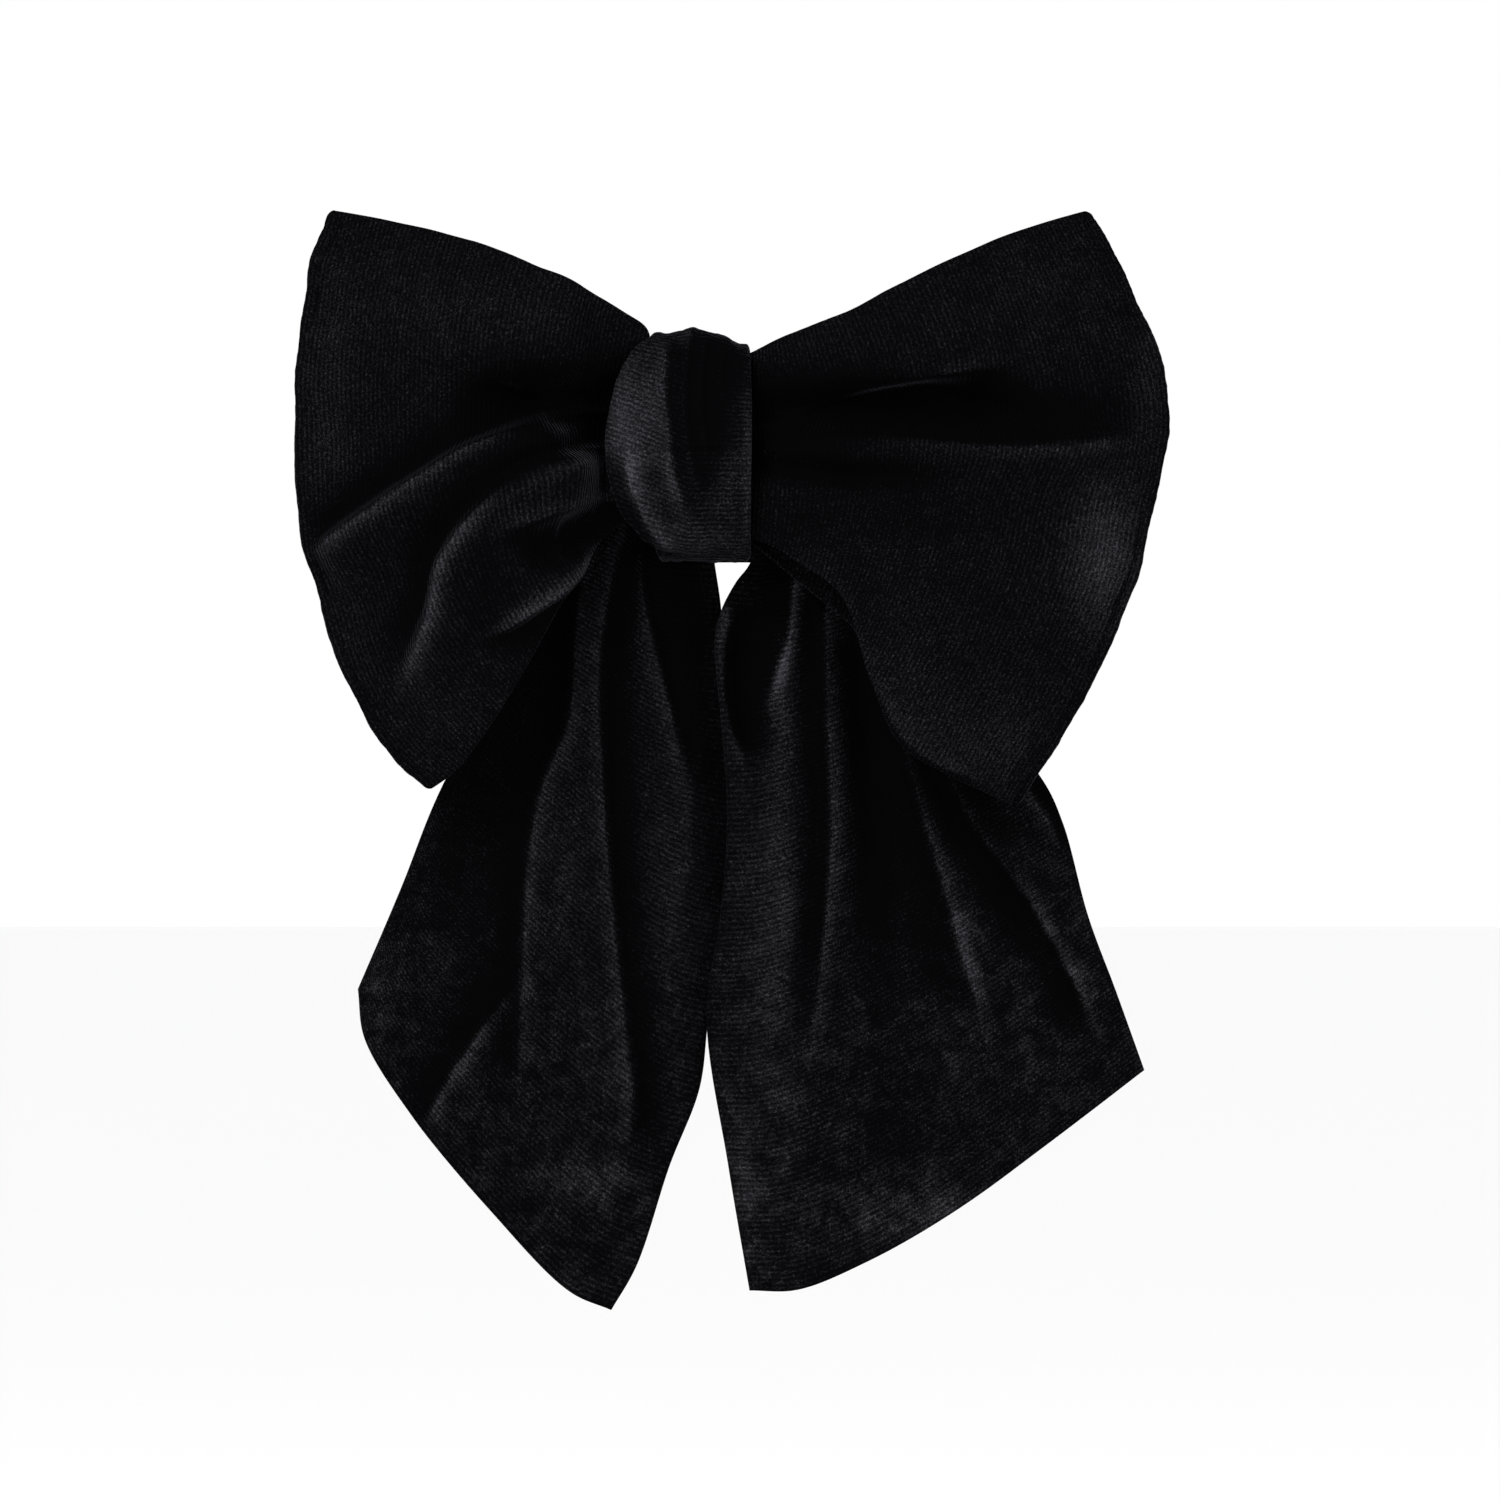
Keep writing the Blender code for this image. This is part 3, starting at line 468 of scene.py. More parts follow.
rightLoop = {
    "grip": 13.0, "underlap": 6.0,
    "front": {
        "first": [(11.6, 16.6), (18.7, 19.8), (29.7, 24.2), (46.1, 32.6), (62.6, 39.4), (75.4, 43.3)],
        "outer": [(75.4, 43.3), (81.0, 33.7), (87.2, 20.0), (90.3, 6.5), (89.2, -3.0), (86.8, -12.6),
                  (84.9, -22.0),
                  (79.8, -35.0), (72.7, -48.7), (62.4, -65.6)],
        "last": [(11.6, -15.8), (21.6, -20.7), (28.6, -25.4), (32.4, -31.3), (35.2, -41.5), (40.6, -54.0),
                 (49.4, -59.6), (62.4, -65.6)],
        "neck": [(11.6, 16.6), (11.6, -15.8)],
    },
    "frontDepth": [[4, 7, 9, 9, 7, 4], [4.5, 10.5, 15, 17, 13, 6], [4.5, 10, 12, 14, 12, 6],
                   [4.5, 10, 13, 14, 12, 6], [4.5, 9.5, 13, 15, 12, 6], [4, 7, 8, 9, 7, 4]],
    "backDepth": [[5.5, 6.5, 8, 8, 6, 4], [5.5, 7, 10, 11, 8, 5], [5.5, 6.5, 8, 9, 7, 5],
                  [5.5, 5.5, 5, 4, 4, 4], [5.5, 5, 3, 3, 3, 3.5], [5.5, 4.5, 2.5, 2.5, 2.5, 3]],
    "frontFolds": [
        fold([(11, 3), (30, 5.8), (50, 6.6), (71, 4.8)], -7.5, 3.8, 4.4, up, fade=(0, 0.3), shade=0.5),
        fold([(11, 3.4), (32, 8.8), (44, 11.9), (55, 13.8), (63, 16.4)], 2.6, 1.1, 9, down,
             fade=(0, 0.25), shine=0.45),
        fold([(11, 3), (34, 2.4), (50, 0.9), (63, 0.2), (73, 0.9), (87, 2.8)], 4.8, 1.4, 6, up,
             fade=(0, 0.2), shine=0.3),
        fold([(11, -1.8), (27, -4.8), (40, -5.4), (53, -7.8)], -2.6, 1.4, 2.4, up,
             fade=(0, 0.45), shade=0.4),
        fold([(16, -18.5), (30, -28), (36, -43), (43, -54.5), (58, -62)], 1.4, 1.6, 5, (-1, -1),
             fade=(0.1, 0.1), shine=0.15),
    ],
    # painted sheen on the right side and lower corner, painted shade in the hollow under the top fold and
    # next to the knot, with pile that lies lighter and darker
    "paintedLightAndPile": [(78, -20, 7, 14, 0.34), (86, 14, 3, 14, 0.14), (42, -46, 7, 14, 0.10), (58, -54, 12, 9, 0.14),
              (66, 28, 12, 9, 0.05), (44, 5.5, 20, 3.6, -0.40), (22, 3, 9, 6, -0.25), (40, -12, 18, 5, -0.10),
              (20, -14, 8, 5, -0.08)],
}
backGathers = {
    -1: [fold([(-9, 8), (-30, 16), (-55, 24)], 1.8, 2.5, 5, up, fade=(0, 0.5), shine=0.1, shade=0.1),
         fold([(-9, 1), (-32, 1), (-58, -2)], 1.8, 2.5, 5, up, fade=(0, 0.5), shine=0.1, shade=0.1),
         fold([(-9, -7), (-26, -20), (-42, -36)], 0.9, 2.5, 5, up, fade=(0, 0.5), shine=0.1, shade=0.1)],
    1: [fold([(18, 8), (42, 18), (66, 27)], 1.8, 2.5, 5, up, fade=(0, 0.5), shine=0.1, shade=0.1),
        fold([(18, 1), (46, 3), (76, 2)], 1.8, 2.5, 5, up, fade=(0, 0.5), shine=0.1, shade=0.1),
        fold([(18, -7), (38, -22), (58, -40)], 0.9, 2.5, 5, up, fade=(0, 0.5), shine=0.1, shade=0.1)],
}


def evenTurn(length, depth, count):
    # Angles from 0 to a quarter turn that step evenly along the ellipse of that length and depth.
    fine = np.linspace(0, math.pi / 2, 2000)
    step = np.hypot(length * np.diff(np.sin(fine)), depth * np.diff(np.cos(fine)))
    run = np.concatenate([[0.0], step.cumsum()])
    return np.interp(np.linspace(0, run[-1], count), run, fine)


def underlap(x):
    # A bell round the place where the back layer shows.
    return math.exp(-((x - loop["underlapAt"]) / loop["underlapWidth"]) ** 2)


def makeLoop(name, node, shape, side, seed, material):
    # A band out of the knot, round the outer fold and back. Along it an angle runs from 0 to half a turn:
    # its sine is the share of the way out, and its cosine times the puff is the depth from the fold.
    low, high = box(node)
    length = high[0] - low[0]
    frontTurn = evenTurn(length, loop["tip"], loop["front"])
    backTurn = math.pi - evenTurn(length, loop["tip"], loop["back"])[::-1]
    t, full = rimmed(loop["across"], high[2] - low[2], loop["rim"])
    alongKnots, acrossKnots = (0, 0.13, 0.32, 0.56, 0.8, 1), (0, 0.22, 0.42, 0.58, 0.8, 1)
    backEdges = dict(shape["front"])
    top, bottom = backEdges["first"], backEdges["last"]
    backEdges["first"] = [(x, z - loop["backTop"] * math.sin(math.pi * k / (len(top) - 1)))
                          for k, (x, z) in enumerate(top)]
    backEdges["last"] = [bottom[0], *((x, z + loop["backLow"] - shape["underlap"] * underlap(x))
                                      for x, z in bottom[1:-1]), bottom[-1]]
    drawnAt, depth, height, tone = [], [], [], []
    for turn, edges, depths, folds in ((frontTurn, shape["front"], shape["frontDepth"], shape["frontFolds"]),
                                       (backTurn[1:], backEdges, shape["backDepth"], backGathers[side])):
        s = np.sin(turn)
        flat = patch(edges, s, t)
        puff = table(depths, alongKnots, acrossKnots, s, t)
        rise, shine = folded(flat[..., 0], flat[..., 1], folds)
        calm = softStep(np.abs(np.cos(turn)) / loop["foldCalm"])[:, None]
        free = softStep((side * flat[..., 0] - shape["grip"]) / loop["gripFade"])
        rise = np.where(rise > 0, rise * free, rise)
        drawnAt.append(flat)
        depth.append(loop["foldDepth"] - puff * np.cos(turn)[:, None])
        height.append(rise * calm)
        tone.append(shine * calm)
    flat, depth, height, tone = (np.concatenate(part) for part in (drawnAt, depth, height, tone))
    x, z = place(flat[..., 0], flat[..., 1])
    mid = np.stack([x, depth * mm, z], axis=-1)
    for k, (rise, size) in enumerate((loop["sway"], loop["grain"])):
        height += rise * waves(mid / mm, size, seed + k)
    frontOnly = np.arange(len(mid)) < loop["front"]
    # the front layer gets the painted sheen and painted shade patches, with the pile's lighter and darker lie
    tone += np.where(frontOnly[:, None], paintedLightAndPile(flat[..., 0], flat[..., 1], shape["paintedLightAndPile"]), 0.0)
    piece = clothSheet(name, mid, -side, full[None, :], loop["wall"], height, spread(mid), tone, material,
                       sink=loop["wall"] / 2)
    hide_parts(node)
    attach(piece, "bow")
    return piece


# Tails

tail = {
    "wall": 2.4, "rim": 1.3, "across": 200, "along": 215,
    "neckDepth": -14.8, "hangDepth": -11.6,        # depth behind the knot, and where the tail hangs
    "headLow": -20.8, "dropOver": 46,              # how low the neck stays back, and how far it takes forward
    "tuckWidth": 0.22, "tuckOver": 9,              # share of the width that is tucked, and how soon it starts
    "hollowOver": 8,                               # how soon the hollows start
    "neckRise": 0.55, "sway": (0.35, 16), "grain": (0.05, 1.6),
    "crush": (0.35, 1.10), "crushFrom": 0.35, "crushOver": 0.5,
    "hingeDepth": -10.0, "bendOver": 15,           # depth of the hinge line, and how low the bend ends
}

leftTail = {
    "first": [(-19.0, -10.0), (-29.0, -36.0), (-43.8, -62.2), (-51.3, -80.7), (-59.1, -98.8)],
    "outer": [(-59.1, -98.8), (-57.8, -108.0), (-48.9, -122.3), (-33.5, -140.6), (-20.0, -154.2),
              (-12.4, -157.6)],
    "last": [(6.2, -17.0), (6.7, -21.0), (7.9, -29.5), (8.1, -40.0), (9.3, -54.0), (9.9, -68.0),
             (8.8, -85.0), (5.6, -103.8), (3.9, -117.0),
             (-1.6, -131.1), (-7.7, -149.4), (-12.4, -157.6)],
    "neck": [(-19.0, -10.0), (-10.0, -12.0), (-4.6, -16.6), (6.2, -17.0)],
    "tuck": (0.0, 2.4),
    "folds": [
        fold([(-17, -18), (-18.7, -31.9), (-20.2, -50), (-24.5, -59.9), (-27.2, -72), (-28.6, -93.5),
             (-29.2, -112),
              (-30, -125)], 3.2, 0.9, 6, toLeft, fade=(0, 0.22)),
        fold([(-9.5, -14), (-12.6, -25), (-14.6, -40), (-14.2, -56), (-12.6, -79), (-9.7, -107.5),
             (-9.2, -119),
              (-10.6, -136)], 3.0, 0.9, 6, toRight, fade=(0, 0.18)),
        fold([(-7.1, -15), (-6.2, -28), (-3.7, -39), (-0.6, -52), (2.2, -69)], 2.2, 0.9, 4, toRight,
             fade=(0, 0.35)),
        fold([(3.6, -50), (1.6, -66), (0.6, -80), (-1.6, -92)], 1.2, 2.4, 2.6, toRight,
             fade=(0.3, 0.4), shine=0.15, shade=0.05),
        fold([(-28.6, -96.5), (-35, -104.7), (-41.6, -114.4), (-47.4, -124.4)], 2.0, 0.9, 6, (-1, 1),
             fade=(0.15, 0.1), shine=0.45),
        fold([(-24, -26), (-31, -48), (-40, -74), (-47, -98)], -1.6, 6, 6, toLeft,
             fade=(0, 0.4), shade=0.18),
        fold([(0.5, -20), (2, -34), (3.5, -48)], -2.2, 3, 3, toLeft, fade=(0, 0.5), shade=0.4),
    ],
    # painted sheen along the lit faces and the hem, and painted shade beside the folds, with pile that lies
    # lighter and darker
    "paintedLightAndPile": [(-18, -133, 9, 4, 0.20), (-21, -76, 5, 22, 0.11), (-3, -84, 6, 26, 0.12),
              (-38, -92, 8, 18, -0.05),
              (-56, -100, 3, 8, 0.16), (-46, -72, 2.5, 16, 0.10), (-6, -40, 6, 14, 0.07),
              (-14, -112, 6, 12, 0.06)],
}
rightTail = {
    "first": [(14.6, -10.0), (13.3, -20.7), (10.4, -24.9), (7.8, -29.9), (6.7, -35.0), (7.9, -50.0),
              (9.0, -66.0), (7.8, -85.0), (5.2, -103.8),
              (9.2, -131.1), (13.1, -153.8)],
    "outer": [(13.1, -153.8), (22.0, -153.7), (35.1, -148.5), (51.6, -139.0), (68.5, -126.8),
              (85.9, -113.6)],
    "last": [(27.0, -10.0), (47.0, -38.0), (66.9, -60.2), (70.9, -68.5), (75.5, -85.3), (80.6, -99.0),
             (85.9, -113.6)],
    "neck": [(14.6, -10.0), (27.0, -10.0)],
    "tuck": (-2.4, 0.0),
    "folds": [
        fold([(12.4, -31), (11.6, -42), (12.6, -56)], -3.6, 2.2, 2.4, toLeft, fade=(0.25, 0.3), shade=0.5),
        fold([(9.5, -27), (8.2, -36), (9.4, -50), (12.6, -61)], 1.4, 1.0, 1.6, toRight,
             fade=(0.1, 0.3), shine=0.5),
        fold([(21.4, -24), (20.3, -34.8), (18.7, -39.7), (16.2, -49)], 2.4, 1.0, 3, toLeft,
             fade=(0, 0.35), shine=0.7),
        fold([(27.1, -30), (27.6, -52.4), (28.2, -68.8), (26.4, -93.5), (23, -119)], 3.2, 0.9, 5, toLeft,
             fade=(0, 0.3)),
        fold([(33, -38), (35.5, -60), (36.6, -80), (37, -102)], -2.4, 2.6, 2.6, toLeft,
             fade=(0, 0.4), shade=0.35),
        fold([(41, -52), (45.6, -68.8), (48.9, -79.8), (52.7, -93.5), (58, -111)], 2.6, 1.2, 5, toLeft,
             fade=(0, 0.3), shine=0.4),
        fold([(51, -56), (58, -74), (66, -92)], -2.2, 3, 3.4, toLeft, fade=(0, 0.4), shade=0.28),
        fold([(47, -54), (54.4, -68.8), (65.4, -83.7), (73.6, -98.9),
             (77.4, -109)], 2.6, 1.0, 4, (-1, -1), fade=(0, 0.15), shine=0.45),
        fold([(63, -60), (67, -66), (71.5, -75)], 1.2, 0.8, 2.5, (1, 1), fade=(0.1, 0.3), shine=0.4),
    ],
    # painted sheen down the lit column and along the hem, painted shade in the valleys beside the folds, with
    # pile that lies lighter and darker
    "paintedLightAndPile": [(18, -88, 7, 36, 0.25), (19, -46, 3.5, 12, 0.20), (11, -134, 4, 18, 0.16),
              (52, -96, 4, 20, 0.16),
              (46, -140, 22, 6, 0.20), (42, -122, 9, 8, -0.10), (30, -60, 2.5, 22, 0.12),
              (38, -90, 4, 26, -0.12),
              (64, -98, 3, 14, 0.08), (11.5, -43, 2.6, 9, -0.3)],
}


def makeTail(name, node, shape, seed, material):
    # A turned strip from the gathered head to its slanting hem, with long folds that open downwards.
    low, high = box(node)
    s, fullAlong = rimmed(tail["along"], high[2] - low[2], tail["rim"])
    fullAlong = np.where(s < 0.5, 1.0, fullAlong)
    s = (s - s[0]) / (s[-1] - s[0])
    t, full = rimmed(tail["across"], high[0] - low[0], tail["rim"])
    flat = patch(shape, s, t)
    x, z = place(flat[..., 0], flat[..., 1])
    height, tone = folded(flat[..., 0], flat[..., 1], shape["folds"])
    below = tail["headLow"] - flat[..., 1]
    drop = softStep(below / tail["dropOver"])
    depth = tail["neckDepth"] + (tail["hangDepth"] - tail["neckDepth"]) * drop + 0 * x
    firstTuck, lastTuck = shape["tuck"]      # the right tail's inner edge lies in front of the left tail's
    width = tail["tuckWidth"]
    tucked = firstTuck * softStep(1 - t / width) + lastTuck * softStep((t - (1 - width)) / width)
    depth += tucked[None, :] * softStep(below / tail["tuckOver"])
    mid = np.stack([x, depth * mm, z], axis=-1)
    height = np.where(height < 0, height * softStep(below / tail["hollowOver"]), height)
    (swayRise, swaySize), (grainRise, grainSize) = tail["sway"], tail["grain"]
    height = height * (tail["neckRise"] + (1 - tail["neckRise"]) * drop)
    height = height + swayRise * waves(flat, swaySize, seed) * drop
    height += grainRise * waves(mid / mm, grainSize, seed + 1)
    # the painted sheen and painted shade patches, with the pile's lighter and darker lie
    tone += paintedLightAndPile(flat[..., 0], flat[..., 1], shape["paintedLightAndPile"])
    least, most = tail["crush"]
    crush = least + (most - least) * softStep((s - tail["crushFrom"]) / tail["crushOver"])[:, None]
    piece = clothSheet(name, mid, 1, fullAlong[:, None] * full[None, :], tail["wall"], height, spread(mid),
                       tone, material, shutEnd=True, crush=crush)
    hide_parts(node)
    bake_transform(piece)
    return piece


# Knot

knot = {
    "wall": 2.2, "rim": 1.2, "around": 300, "across": 150,
    "left": 13.1, "right": 13.1, "behind": 4.2,    # half widths in front, and the left one behind
    "tallPower": 0.72,                             # 1 is an ellipse and 0 a square
    "roll": 3.4, "rollWidth": 8.0, "edge": 1.8, "edgeWidth": 2.2,
    "bowUp": 21.5, "bowDown": 18.6,                # how tall the left edge's curve is, up and down
    "turnFrom": 0.45, "turnOver": 1.1,             # where the front turns into the back
    "droop": 0.11, "squash": 0.10,                 # how much the top right slopes down, and the rolled edges
    "sway": (0.16, 3.2), "grain": (0.04, 1.4), "stretch": (1.0, 0.4, 0.25),
    "slant": 0.42, "slantFrom": 2.0,               # the ribs lean left of here
}
knotFolds = [
    fold([(-1.6, 19), (-2.4, 11), (-1.6, 2), (-0.6, -6), (2.6, -15)], 1.1, 0.8, 4, toRight,
         fade=(0.1, 0.3), shade=0.30),
    fold([(2.6, 20), (1.4, 13), (1.2, 6), (2.4, -2), (4.6, -12)], 1.3, 0.8, 2.6, toRight,
         fade=(0, 0.3), shade=0.35),
    fold([(5.2, 19), (4.2, 12), (4.6, 4), (6.2, -6)], 1.0, 0.7, 2.2, toRight, fade=(0, 0.35), shade=0.30),
    fold([(8.4, 19), (7.6, 13), (8.2, 7)], 0.8, 0.7, 2.0, toRight, fade=(0, 0.5), shade=0.2),
    fold([(-9.4, 1), (-8.2, -7), (-5.6, -13.2), (-0.6, -18.6)], 0.9, 0.7, 3, (-1, -1),
         fade=(0.3, 0.1), shine=0.3),
    fold([(-4.6, -2), (-3.4, -9), (0.4, -15)], -0.6, 1.4, 1.8, toRight, fade=(0.3, 0.3), shade=0.16),
]
# painted sheen on the knot's rolled left edge, right rim and lower front, and painted shade at the upper
# right, with pile that lies lighter and darker
knotPaintedLightAndPile = [(-9.6, 2, 4.2, 16, 0.46), (-4.5, 6, 2.4, 12, 0.16), (8.4, 11, 4.0, 7, -0.08),
             (7.6, -5, 4.4, 9, 0.22),
             (12.6, -2, 0.9, 14, 0.30), (-2, -9, 4, 8, 0.22), (4, -17, 9, 3, 0.18)]


def quarter(share):
    # A quarter circle, from 1 at the edge to 0 one width in.
    return 1 - np.sqrt(np.clip(1 - np.clip(1 - share, 0, 1) ** 2, 0, 1))


def makeKnot(material):
    # A band round the loops' middle. Its section is a rounded square, a power of cosine and sine; its
    # left edge bows out at the front as half an ellipse and rolls back as a quarter circle.
    low, high = box("knot_band")
    turn = np.linspace(0, 2 * math.pi, knot["around"], endpoint=False)
    share, full = rimmed(knot["across"], high[0] - low[0], knot["rim"])
    cosine, sine = np.cos(turn), np.sin(turn)
    power = knot["tallPower"]
    halfDepth = (high[1] - low[1]) / 2 - knot["wall"] / 2
    halfTall = (high[2] - low[2]) / 2 - knot["wall"] / 2
    centreY = (low[1] + high[1]) / 2
    y = centreY - halfDepth * np.sign(cosine) * np.abs(cosine) ** power
    z = halfTall * np.sign(sine) * np.abs(sine) ** power
    forward = softStep((cosine + knot["turnFrom"]) / knot["turnOver"])
    bow = np.sqrt(np.clip(1 - (z / np.where(z > 0, knot["bowUp"], knot["bowDown"])) ** 2, 0, 1))
    left = -knot["behind"] * (1 - forward) - knot["left"] * bow * forward
    x = left[:, None] + (knot["right"] - left)[:, None] * share[None, :]
    fromLeft, fromRight = x - left[:, None], knot["right"] - x
    rollBack = knot["roll"] * quarter(fromLeft / knot["rollWidth"])
    rollBack += knot["edge"] * quarter(fromRight / knot["edgeWidth"])
    inward = rollBack * forward[:, None]
    shrink = 1 - inward / np.hypot(halfDepth, 0.35 * halfTall)
    depth = centreY + (y[:, None] - centreY) * shrink
    droop = knot["droop"] * softStep((x - 4) / 9) * softStep(z[:, None] / 12)
    tall = z[:, None] * (1 - knot["squash"] * (1 - shrink)) * (1 - droop)
    height, tone = folded(x, tall, knotFolds)
    # the front gets the knot's painted sheen and painted shade patches
    height, tone = height * forward[:, None], (tone + paintedLightAndPile(x, tall, knotPaintedLightAndPile)) * forward[:, None]
    ring = np.stack([x, depth, tall], axis=-1)
    (swayRise, swaySize), (grainRise, grainSize) = knot["sway"], knot["grain"]
    height += (swayRise * waves(ring * np.array(knot["stretch"]), swaySize, 71)
               + grainRise * waves(ring, grainSize, 72))
    across, upward = place(x, tall)
    mid = np.stack([across, depth * mm, upward], axis=-1)
    run = np.linalg.norm(np.roll(mid, -1, axis=0) - mid, axis=-1).mean(axis=1)
    around = np.concatenate([[0.0], run[:-1].cumsum()])[:, None]
    around = around + knot["slant"] * np.minimum(x - knot["slantFrom"], 0) * mm
    cloth = np.stack([around, x * mm], axis=-1)
    piece = clothSheet("knotVelvet", mid, -1, full[None, :], knot["wall"], height, cloth, tone, material,
                       softness=(4, 14), closed=True)
    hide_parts("knot_band")
    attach(piece, "bow")
    return piece


# What lies inside and behind

# The waist's tone is painted shade: it sits inside the loops and is set darker than the rest of the velvet.
waist = {"around": 180, "along": 40, "power": 0.6, "pleats": ((0.05, 14, 0), (0.02, 31, 1)), "pinch": 0.07,
         "tone": -0.2}


def makeWaist(material):
    # The pinched middle of the loops: a rounded section, a power of cosine and sine, whose radius
    # ripples in soft pleats and narrows towards both ends as a squared cosine. A fan closes each end.
    low, high = box("loop_waist")
    turn = np.linspace(0, 2 * math.pi, waist["around"], endpoint=False)
    stations = np.linspace(low[0], high[0], waist["along"])
    cosine, sine = np.cos(turn), np.sin(turn)
    ripple = 1 - sum(rise * (0.5 + 0.5 * np.cos(turn * count + phase))
                     for rise, count, phase in waist["pleats"])
    share = (stations - stations.mean()) / (high[0] - low[0])
    pinch = (1 - waist["pinch"]) + waist["pinch"] * np.cos(math.pi * share) ** 2
    centreY = (low[1] + high[1]) / 2
    y = -(high[1] - low[1]) / 2 * np.sign(cosine) * np.abs(cosine) ** waist["power"] * ripple
    z = (high[2] - low[2]) / 2 * np.sign(sine) * np.abs(sine) ** waist["power"] * ripple
    rings = np.stack([np.broadcast_to(stations[:, None], (len(stations), len(turn))),
                      centreY + y[None] * pinch[:, None], z[None] * pinch[:, None]], axis=-1) * mm
    rows, size = rings.shape[:2]
    ids = np.arange(rows * size).reshape(rows, size)
    after = np.roll(ids, -1, axis=1)
    faces = np.stack([ids[:-1], after[:-1], after[1:], ids[1:]], axis=-1).reshape(-1, 4).tolist()
    faces += [[rows * size, b, a] for a, b in zip(ids[0].tolist(), after[0].tolist())]
    faces += [[rows * size + 1, a, b] for a, b in zip(ids[-1].tolist(), after[-1].tolist())]
    points = np.concatenate([rings.reshape(-1, 3), rings[0].mean(0)[None], rings[-1].mean(0)[None]])
    a, b, c = (points[[face[k] for face in faces]] for k in range(3))
    if (a * np.cross(b, c)).sum() < 0:
        faces = [face[::-1] for face in faces]
    u = np.concatenate([[0.0], np.linalg.norm(np.diff(rings, axis=0), axis=-1).mean(axis=1).cumsum()])
    v = np.linspace(0, 1, size) * np.linalg.norm(np.diff(rings[0], axis=0), axis=-1).sum()
    flat = np.stack(np.meshgrid(u, v, indexing="ij"), axis=-1).reshape(-1, 2)
    flat = np.concatenate([flat, [[0, 0], [u[-1], 0]]])
    # its tone is the waist's painted shade
    piece = velvetMesh("waistVelvet", points, faces, flat, {"tone": np.full(len(points), waist["tone"])},
                       material)
    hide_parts("loop_waist")
    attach(piece, "bow")
    return piece


head = {"wall": 3.6, "rim": 2.0, "across": 120, "along": 60, "gathers": 8, "gatherRise": 0.5,
        "grain": (0.1, 5), "leftSlope": (5.2, 10.6), "rightSlope": (16, 18)}


def makeHead(material):
    # The tails' gathered head behind the knot: a pillowed sheet with upright gathers.
    low, high = box("tail_head")
    (leftMid, leftTop), (rightMid, rightTop) = head["leftSlope"], head["rightSlope"]
    edges = {"first": [(low[0], low[2]), (low[0] + leftMid, -2.0), (low[0] + leftTop, high[2])],
             "last": [(high[0], low[2]), (high[0] - rightMid, 0.0), (high[0] - rightTop, high[2])],
             "neck": [(low[0], low[2]), (high[0], low[2])],
             "outer": [(low[0] + leftTop, high[2]), (high[0] - rightTop, high[2])]}
    t, full = rimmed(head["across"], high[0] - low[0], head["rim"])
    s, fullAlong = rimmed(head["along"], high[2] - low[2], head["rim"])
    s = (s - s[0]) / (s[-1] - s[0])
    fullAlong = np.where(s < 0.5, 1.0, fullAlong)
    flat = patch(edges, s, t)
    x, z = place(flat[..., 0], flat[..., 1])
    depth = np.full(x.shape, (low[1] + high[1]) / 2)
    gathers = np.cos(t * 2 * math.pi * head["gathers"])[None, :] * head["gatherRise"]
    mid = np.stack([x, depth * mm, z], axis=-1)
    rise, size = head["grain"]
    height = gathers + rise * waves(flat, size, 91)
    # The head's tone is painted shade that follows the gathers: darker where they stand out, lighter between
    # them.
    piece = clothSheet("tailHeadVelvet", mid, -1, fullAlong[:, None] * full[None, :], head["wall"], height,
                       spread(mid), -0.1 * gathers + 0 * x, material, softness=(2, 4), shutEnd=True)
    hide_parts("tail_head")
    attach(piece, "bow")
    return piece


strap = {"wall": 0.75, "skin": 0.65, "foot": 6.0, "corner": 1.6, "along": 90, "across": 44,
         "grain": (0.04, 3.0)}


def makeStrap(material):
    # The strap's line in depth and height, from foot over the plate to foot, carried across its width.
    low, high = box("clip_strap")
    half = strap["wall"] / 2
    side = high[2] - strap["foot"] - 0.2
    foot, over = low[1] + half, high[1] - half
    profile = [(foot, low[2] + 0.1), (foot, -side - 1.4), (foot + 0.7, -side - 0.3),
               (over - 0.5, -side + 0.2), (over, -side + strap["corner"]), (over, 0)]
    profile += [(y, -z) for y, z in profile[-2::-1]]
    along = line(profile, np.linspace(0, 1, strap["along"]))
    t, full = rimmed(strap["across"], high[0] - low[0], half)
    x = low[0] + (high[0] - low[0]) * t
    grid = (strap["along"], strap["across"])
    mid = np.stack([np.broadcast_to(part, grid) for part in (x[None, :], along[:, :1], along[:, 1:])],
                   axis=-1) * mm
    rise, size = strap["grain"]
    height = rise * waves(mid / mm, size, 95)
    piece = clothSheet("strapVelvet", mid, 1, full[None, :], strap["skin"], height, spread(mid),
                       np.zeros(grid), material, softness=(2, 2))
    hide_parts("clip_strap")
    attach(piece, "bow")
    return piece


print("materials")
bowVelvet = velvetMaterial("blackVelvet")
plated = steelMaterial("nickelPlate", (0.52, 0.52, 0.51), 0.20, False)
sprung = steelMaterial("springSteel", (0.40, 0.41, 0.43), 0.28, True)
sewing = threadMaterial("sewingThread")
finishes = {"clip_steel": plated, "spring_steel": sprung, "thread": sewing}
for entry in frame["record"]["subparts"]:
    if entry["material_slot"] in finishes:
        for seat in frame["nodes"][entry["node"]].material_slots:
            seat.material = finishes[entry["material_slot"]]

print("loops")
leftPiece = makeLoop("leftLoopVelvet", "left_loop", leftLoop, -1, 11, bowVelvet)
rightPiece = makeLoop("rightLoopVelvet", "right_loop", rightLoop, 1, 23, bowVelvet)

print("tails")
leftHang = makeTail("leftTailVelvet", "left_tail", leftTail, 31, bowVelvet)
rightHang = makeTail("rightTailVelvet", "right_tail", rightTail, 43, bowVelvet)

print("knot and head")
knotPiece = makeKnot(bowVelvet)
headPiece = makeHead(bowVelvet)
waistPiece = makeWaist(bowVelvet)
strapPiece = makeStrap(bowVelvet)

# Stage, light and camera

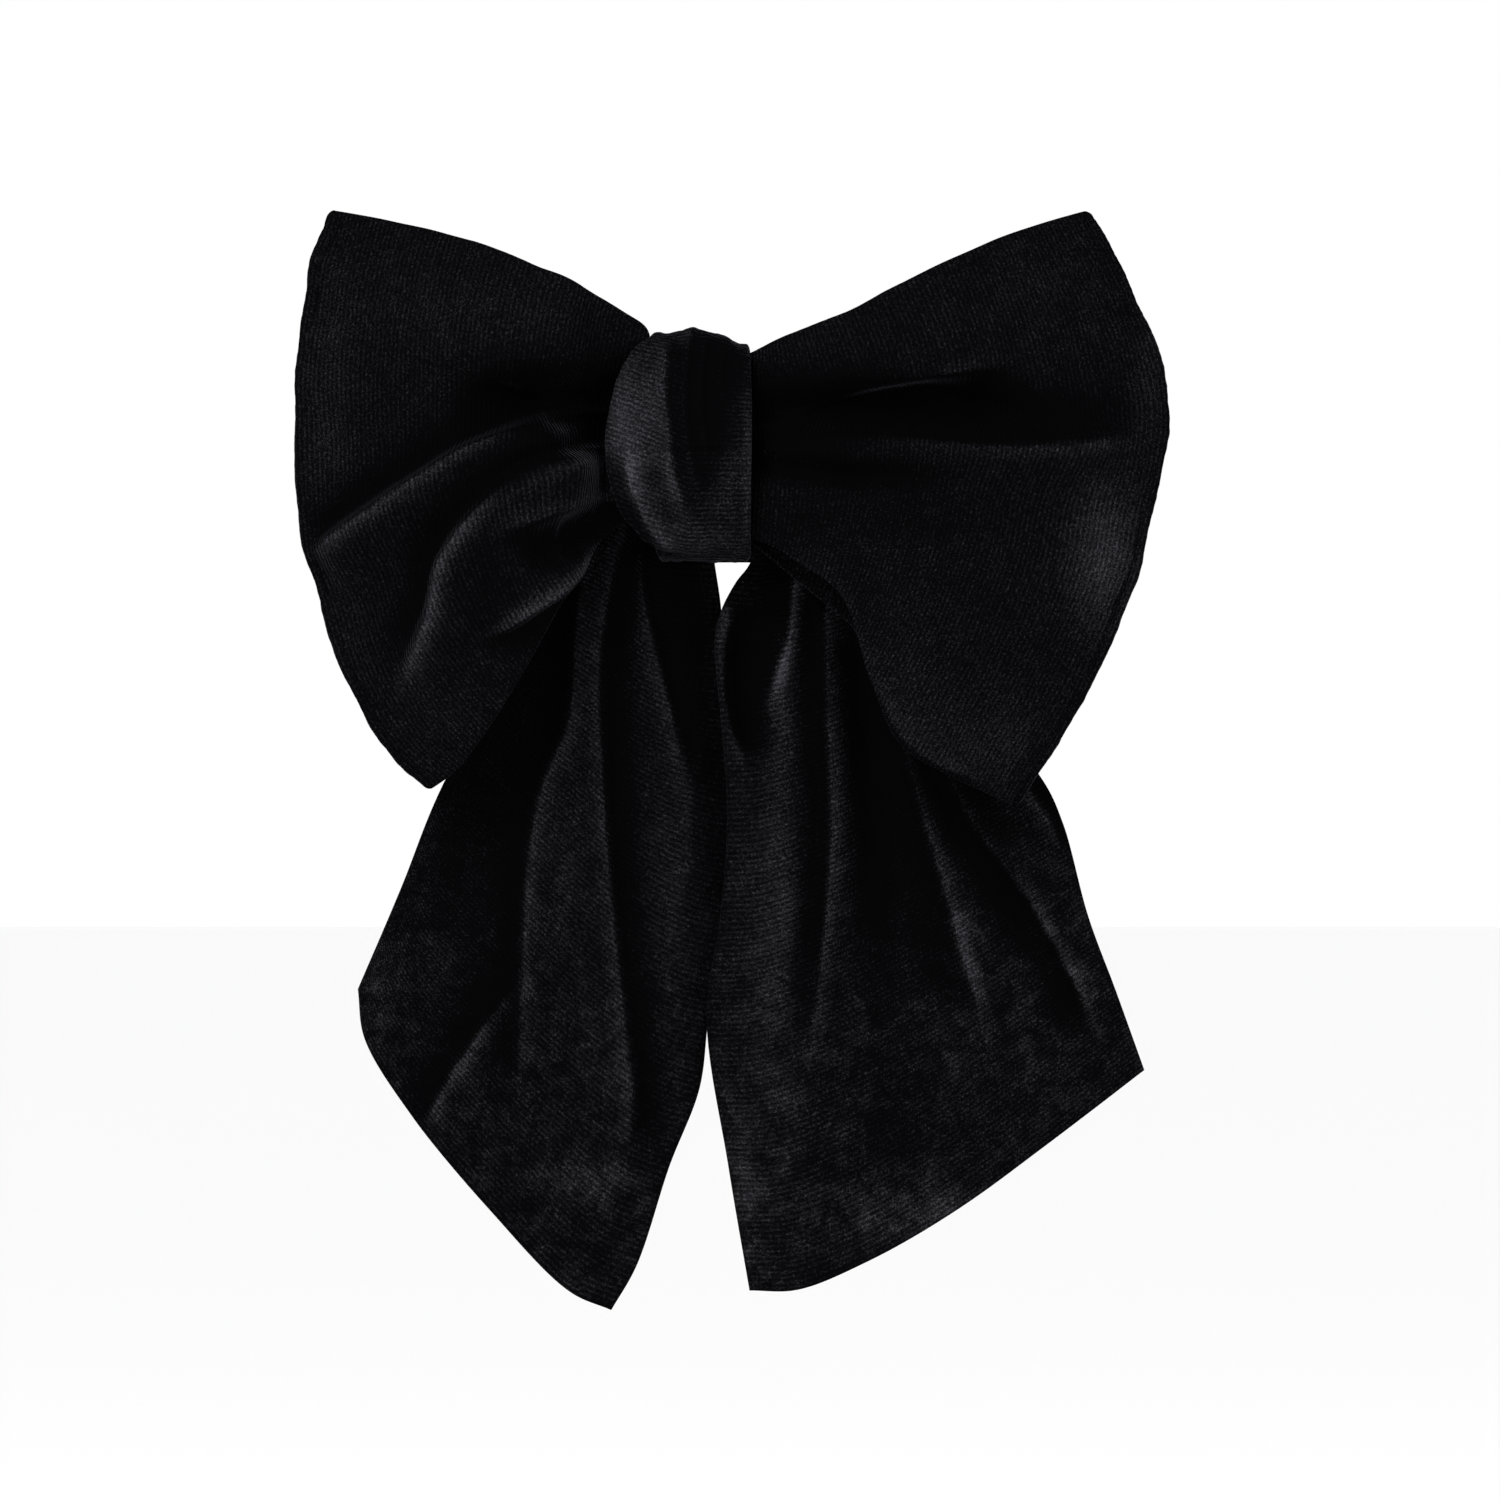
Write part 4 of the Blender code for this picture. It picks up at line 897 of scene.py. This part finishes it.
view = {"wide": 274.0, "lens": 300.0, "sensor": 36.0, "aimX": 13.2, "aimZ": -55.1, "plane": -18.0}


lights = {
    "keyLight": {"at": (-0.55, -0.9, 0.65), "size": 0.7, "power": 14.0},
    "fillLight": {"at": (0.9, -0.6, 0.2), "size": 0.9, "power": 5.0},
    "rimLight": {"at": (0.1, 0.8, 0.8), "size": 0.9, "power": 6.0},
}


def areaLight(name, at, aim, size, power):
    # A round lamp turned to face the aim.
    lamp = bpy.data.lights.new(name, "AREA")
    lamp.shape, lamp.size, lamp.energy = "DISK", size, power
    item = bpy.data.objects.new(name, lamp)
    bpy.context.scene.collection.objects.link(item)
    item.location = at
    direction = np.array(aim) - np.array(at)
    direction /= np.linalg.norm(direction)
    item.rotation_euler = (math.acos(-direction[2]), 0.0, math.atan2(direction[0], -direction[1]) + math.pi)


def makeStage():
    scene = bpy.context.scene
    world = bpy.data.worlds.new("paleRoom")
    world.use_nodes = True
    world.node_tree.nodes["Background"].inputs["Color"].default_value = (1.0, 1.0, 1.0, 1.0)
    world.node_tree.nodes["Background"].inputs["Strength"].default_value = 1.0
    scene.world = world
    scene.view_settings.view_transform = "Standard"
    bpy.ops.mesh.primitive_plane_add(size=30.0, location=(0.0, 0.0, -0.30))
    floor = bpy.context.object
    floor.name = "paleFloor"
    paint, _ = principled("paleFloorPaint", Base_Color=(0.95, 0.95, 0.95, 1.0), Roughness=0.9)
    floor.data.materials.append(paint)
    centre = (0.01, -0.02, -0.05)
    for name, lamp in lights.items():
        areaLight(name, lamp["at"], centre, lamp["size"], lamp["power"])
    lens = bpy.data.cameras.new("frontCamera")
    lens.lens, lens.sensor_width, lens.clip_start, lens.clip_end = view["lens"], view["sensor"], 0.05, 60.0
    camera = bpy.data.objects.new("frontCamera", lens)
    scene.collection.objects.link(camera)
    x, z = place(np.array(view["aimX"]), np.array(view["aimZ"]))
    away = view["wide"] * mm * view["lens"] / view["sensor"]
    camera.location = (float(x), view["plane"] * mm - away, float(z))
    camera.rotation_euler = (math.pi / 2, 0.0, 0.0)
    scene.camera = camera


print("stage")
makeStage()
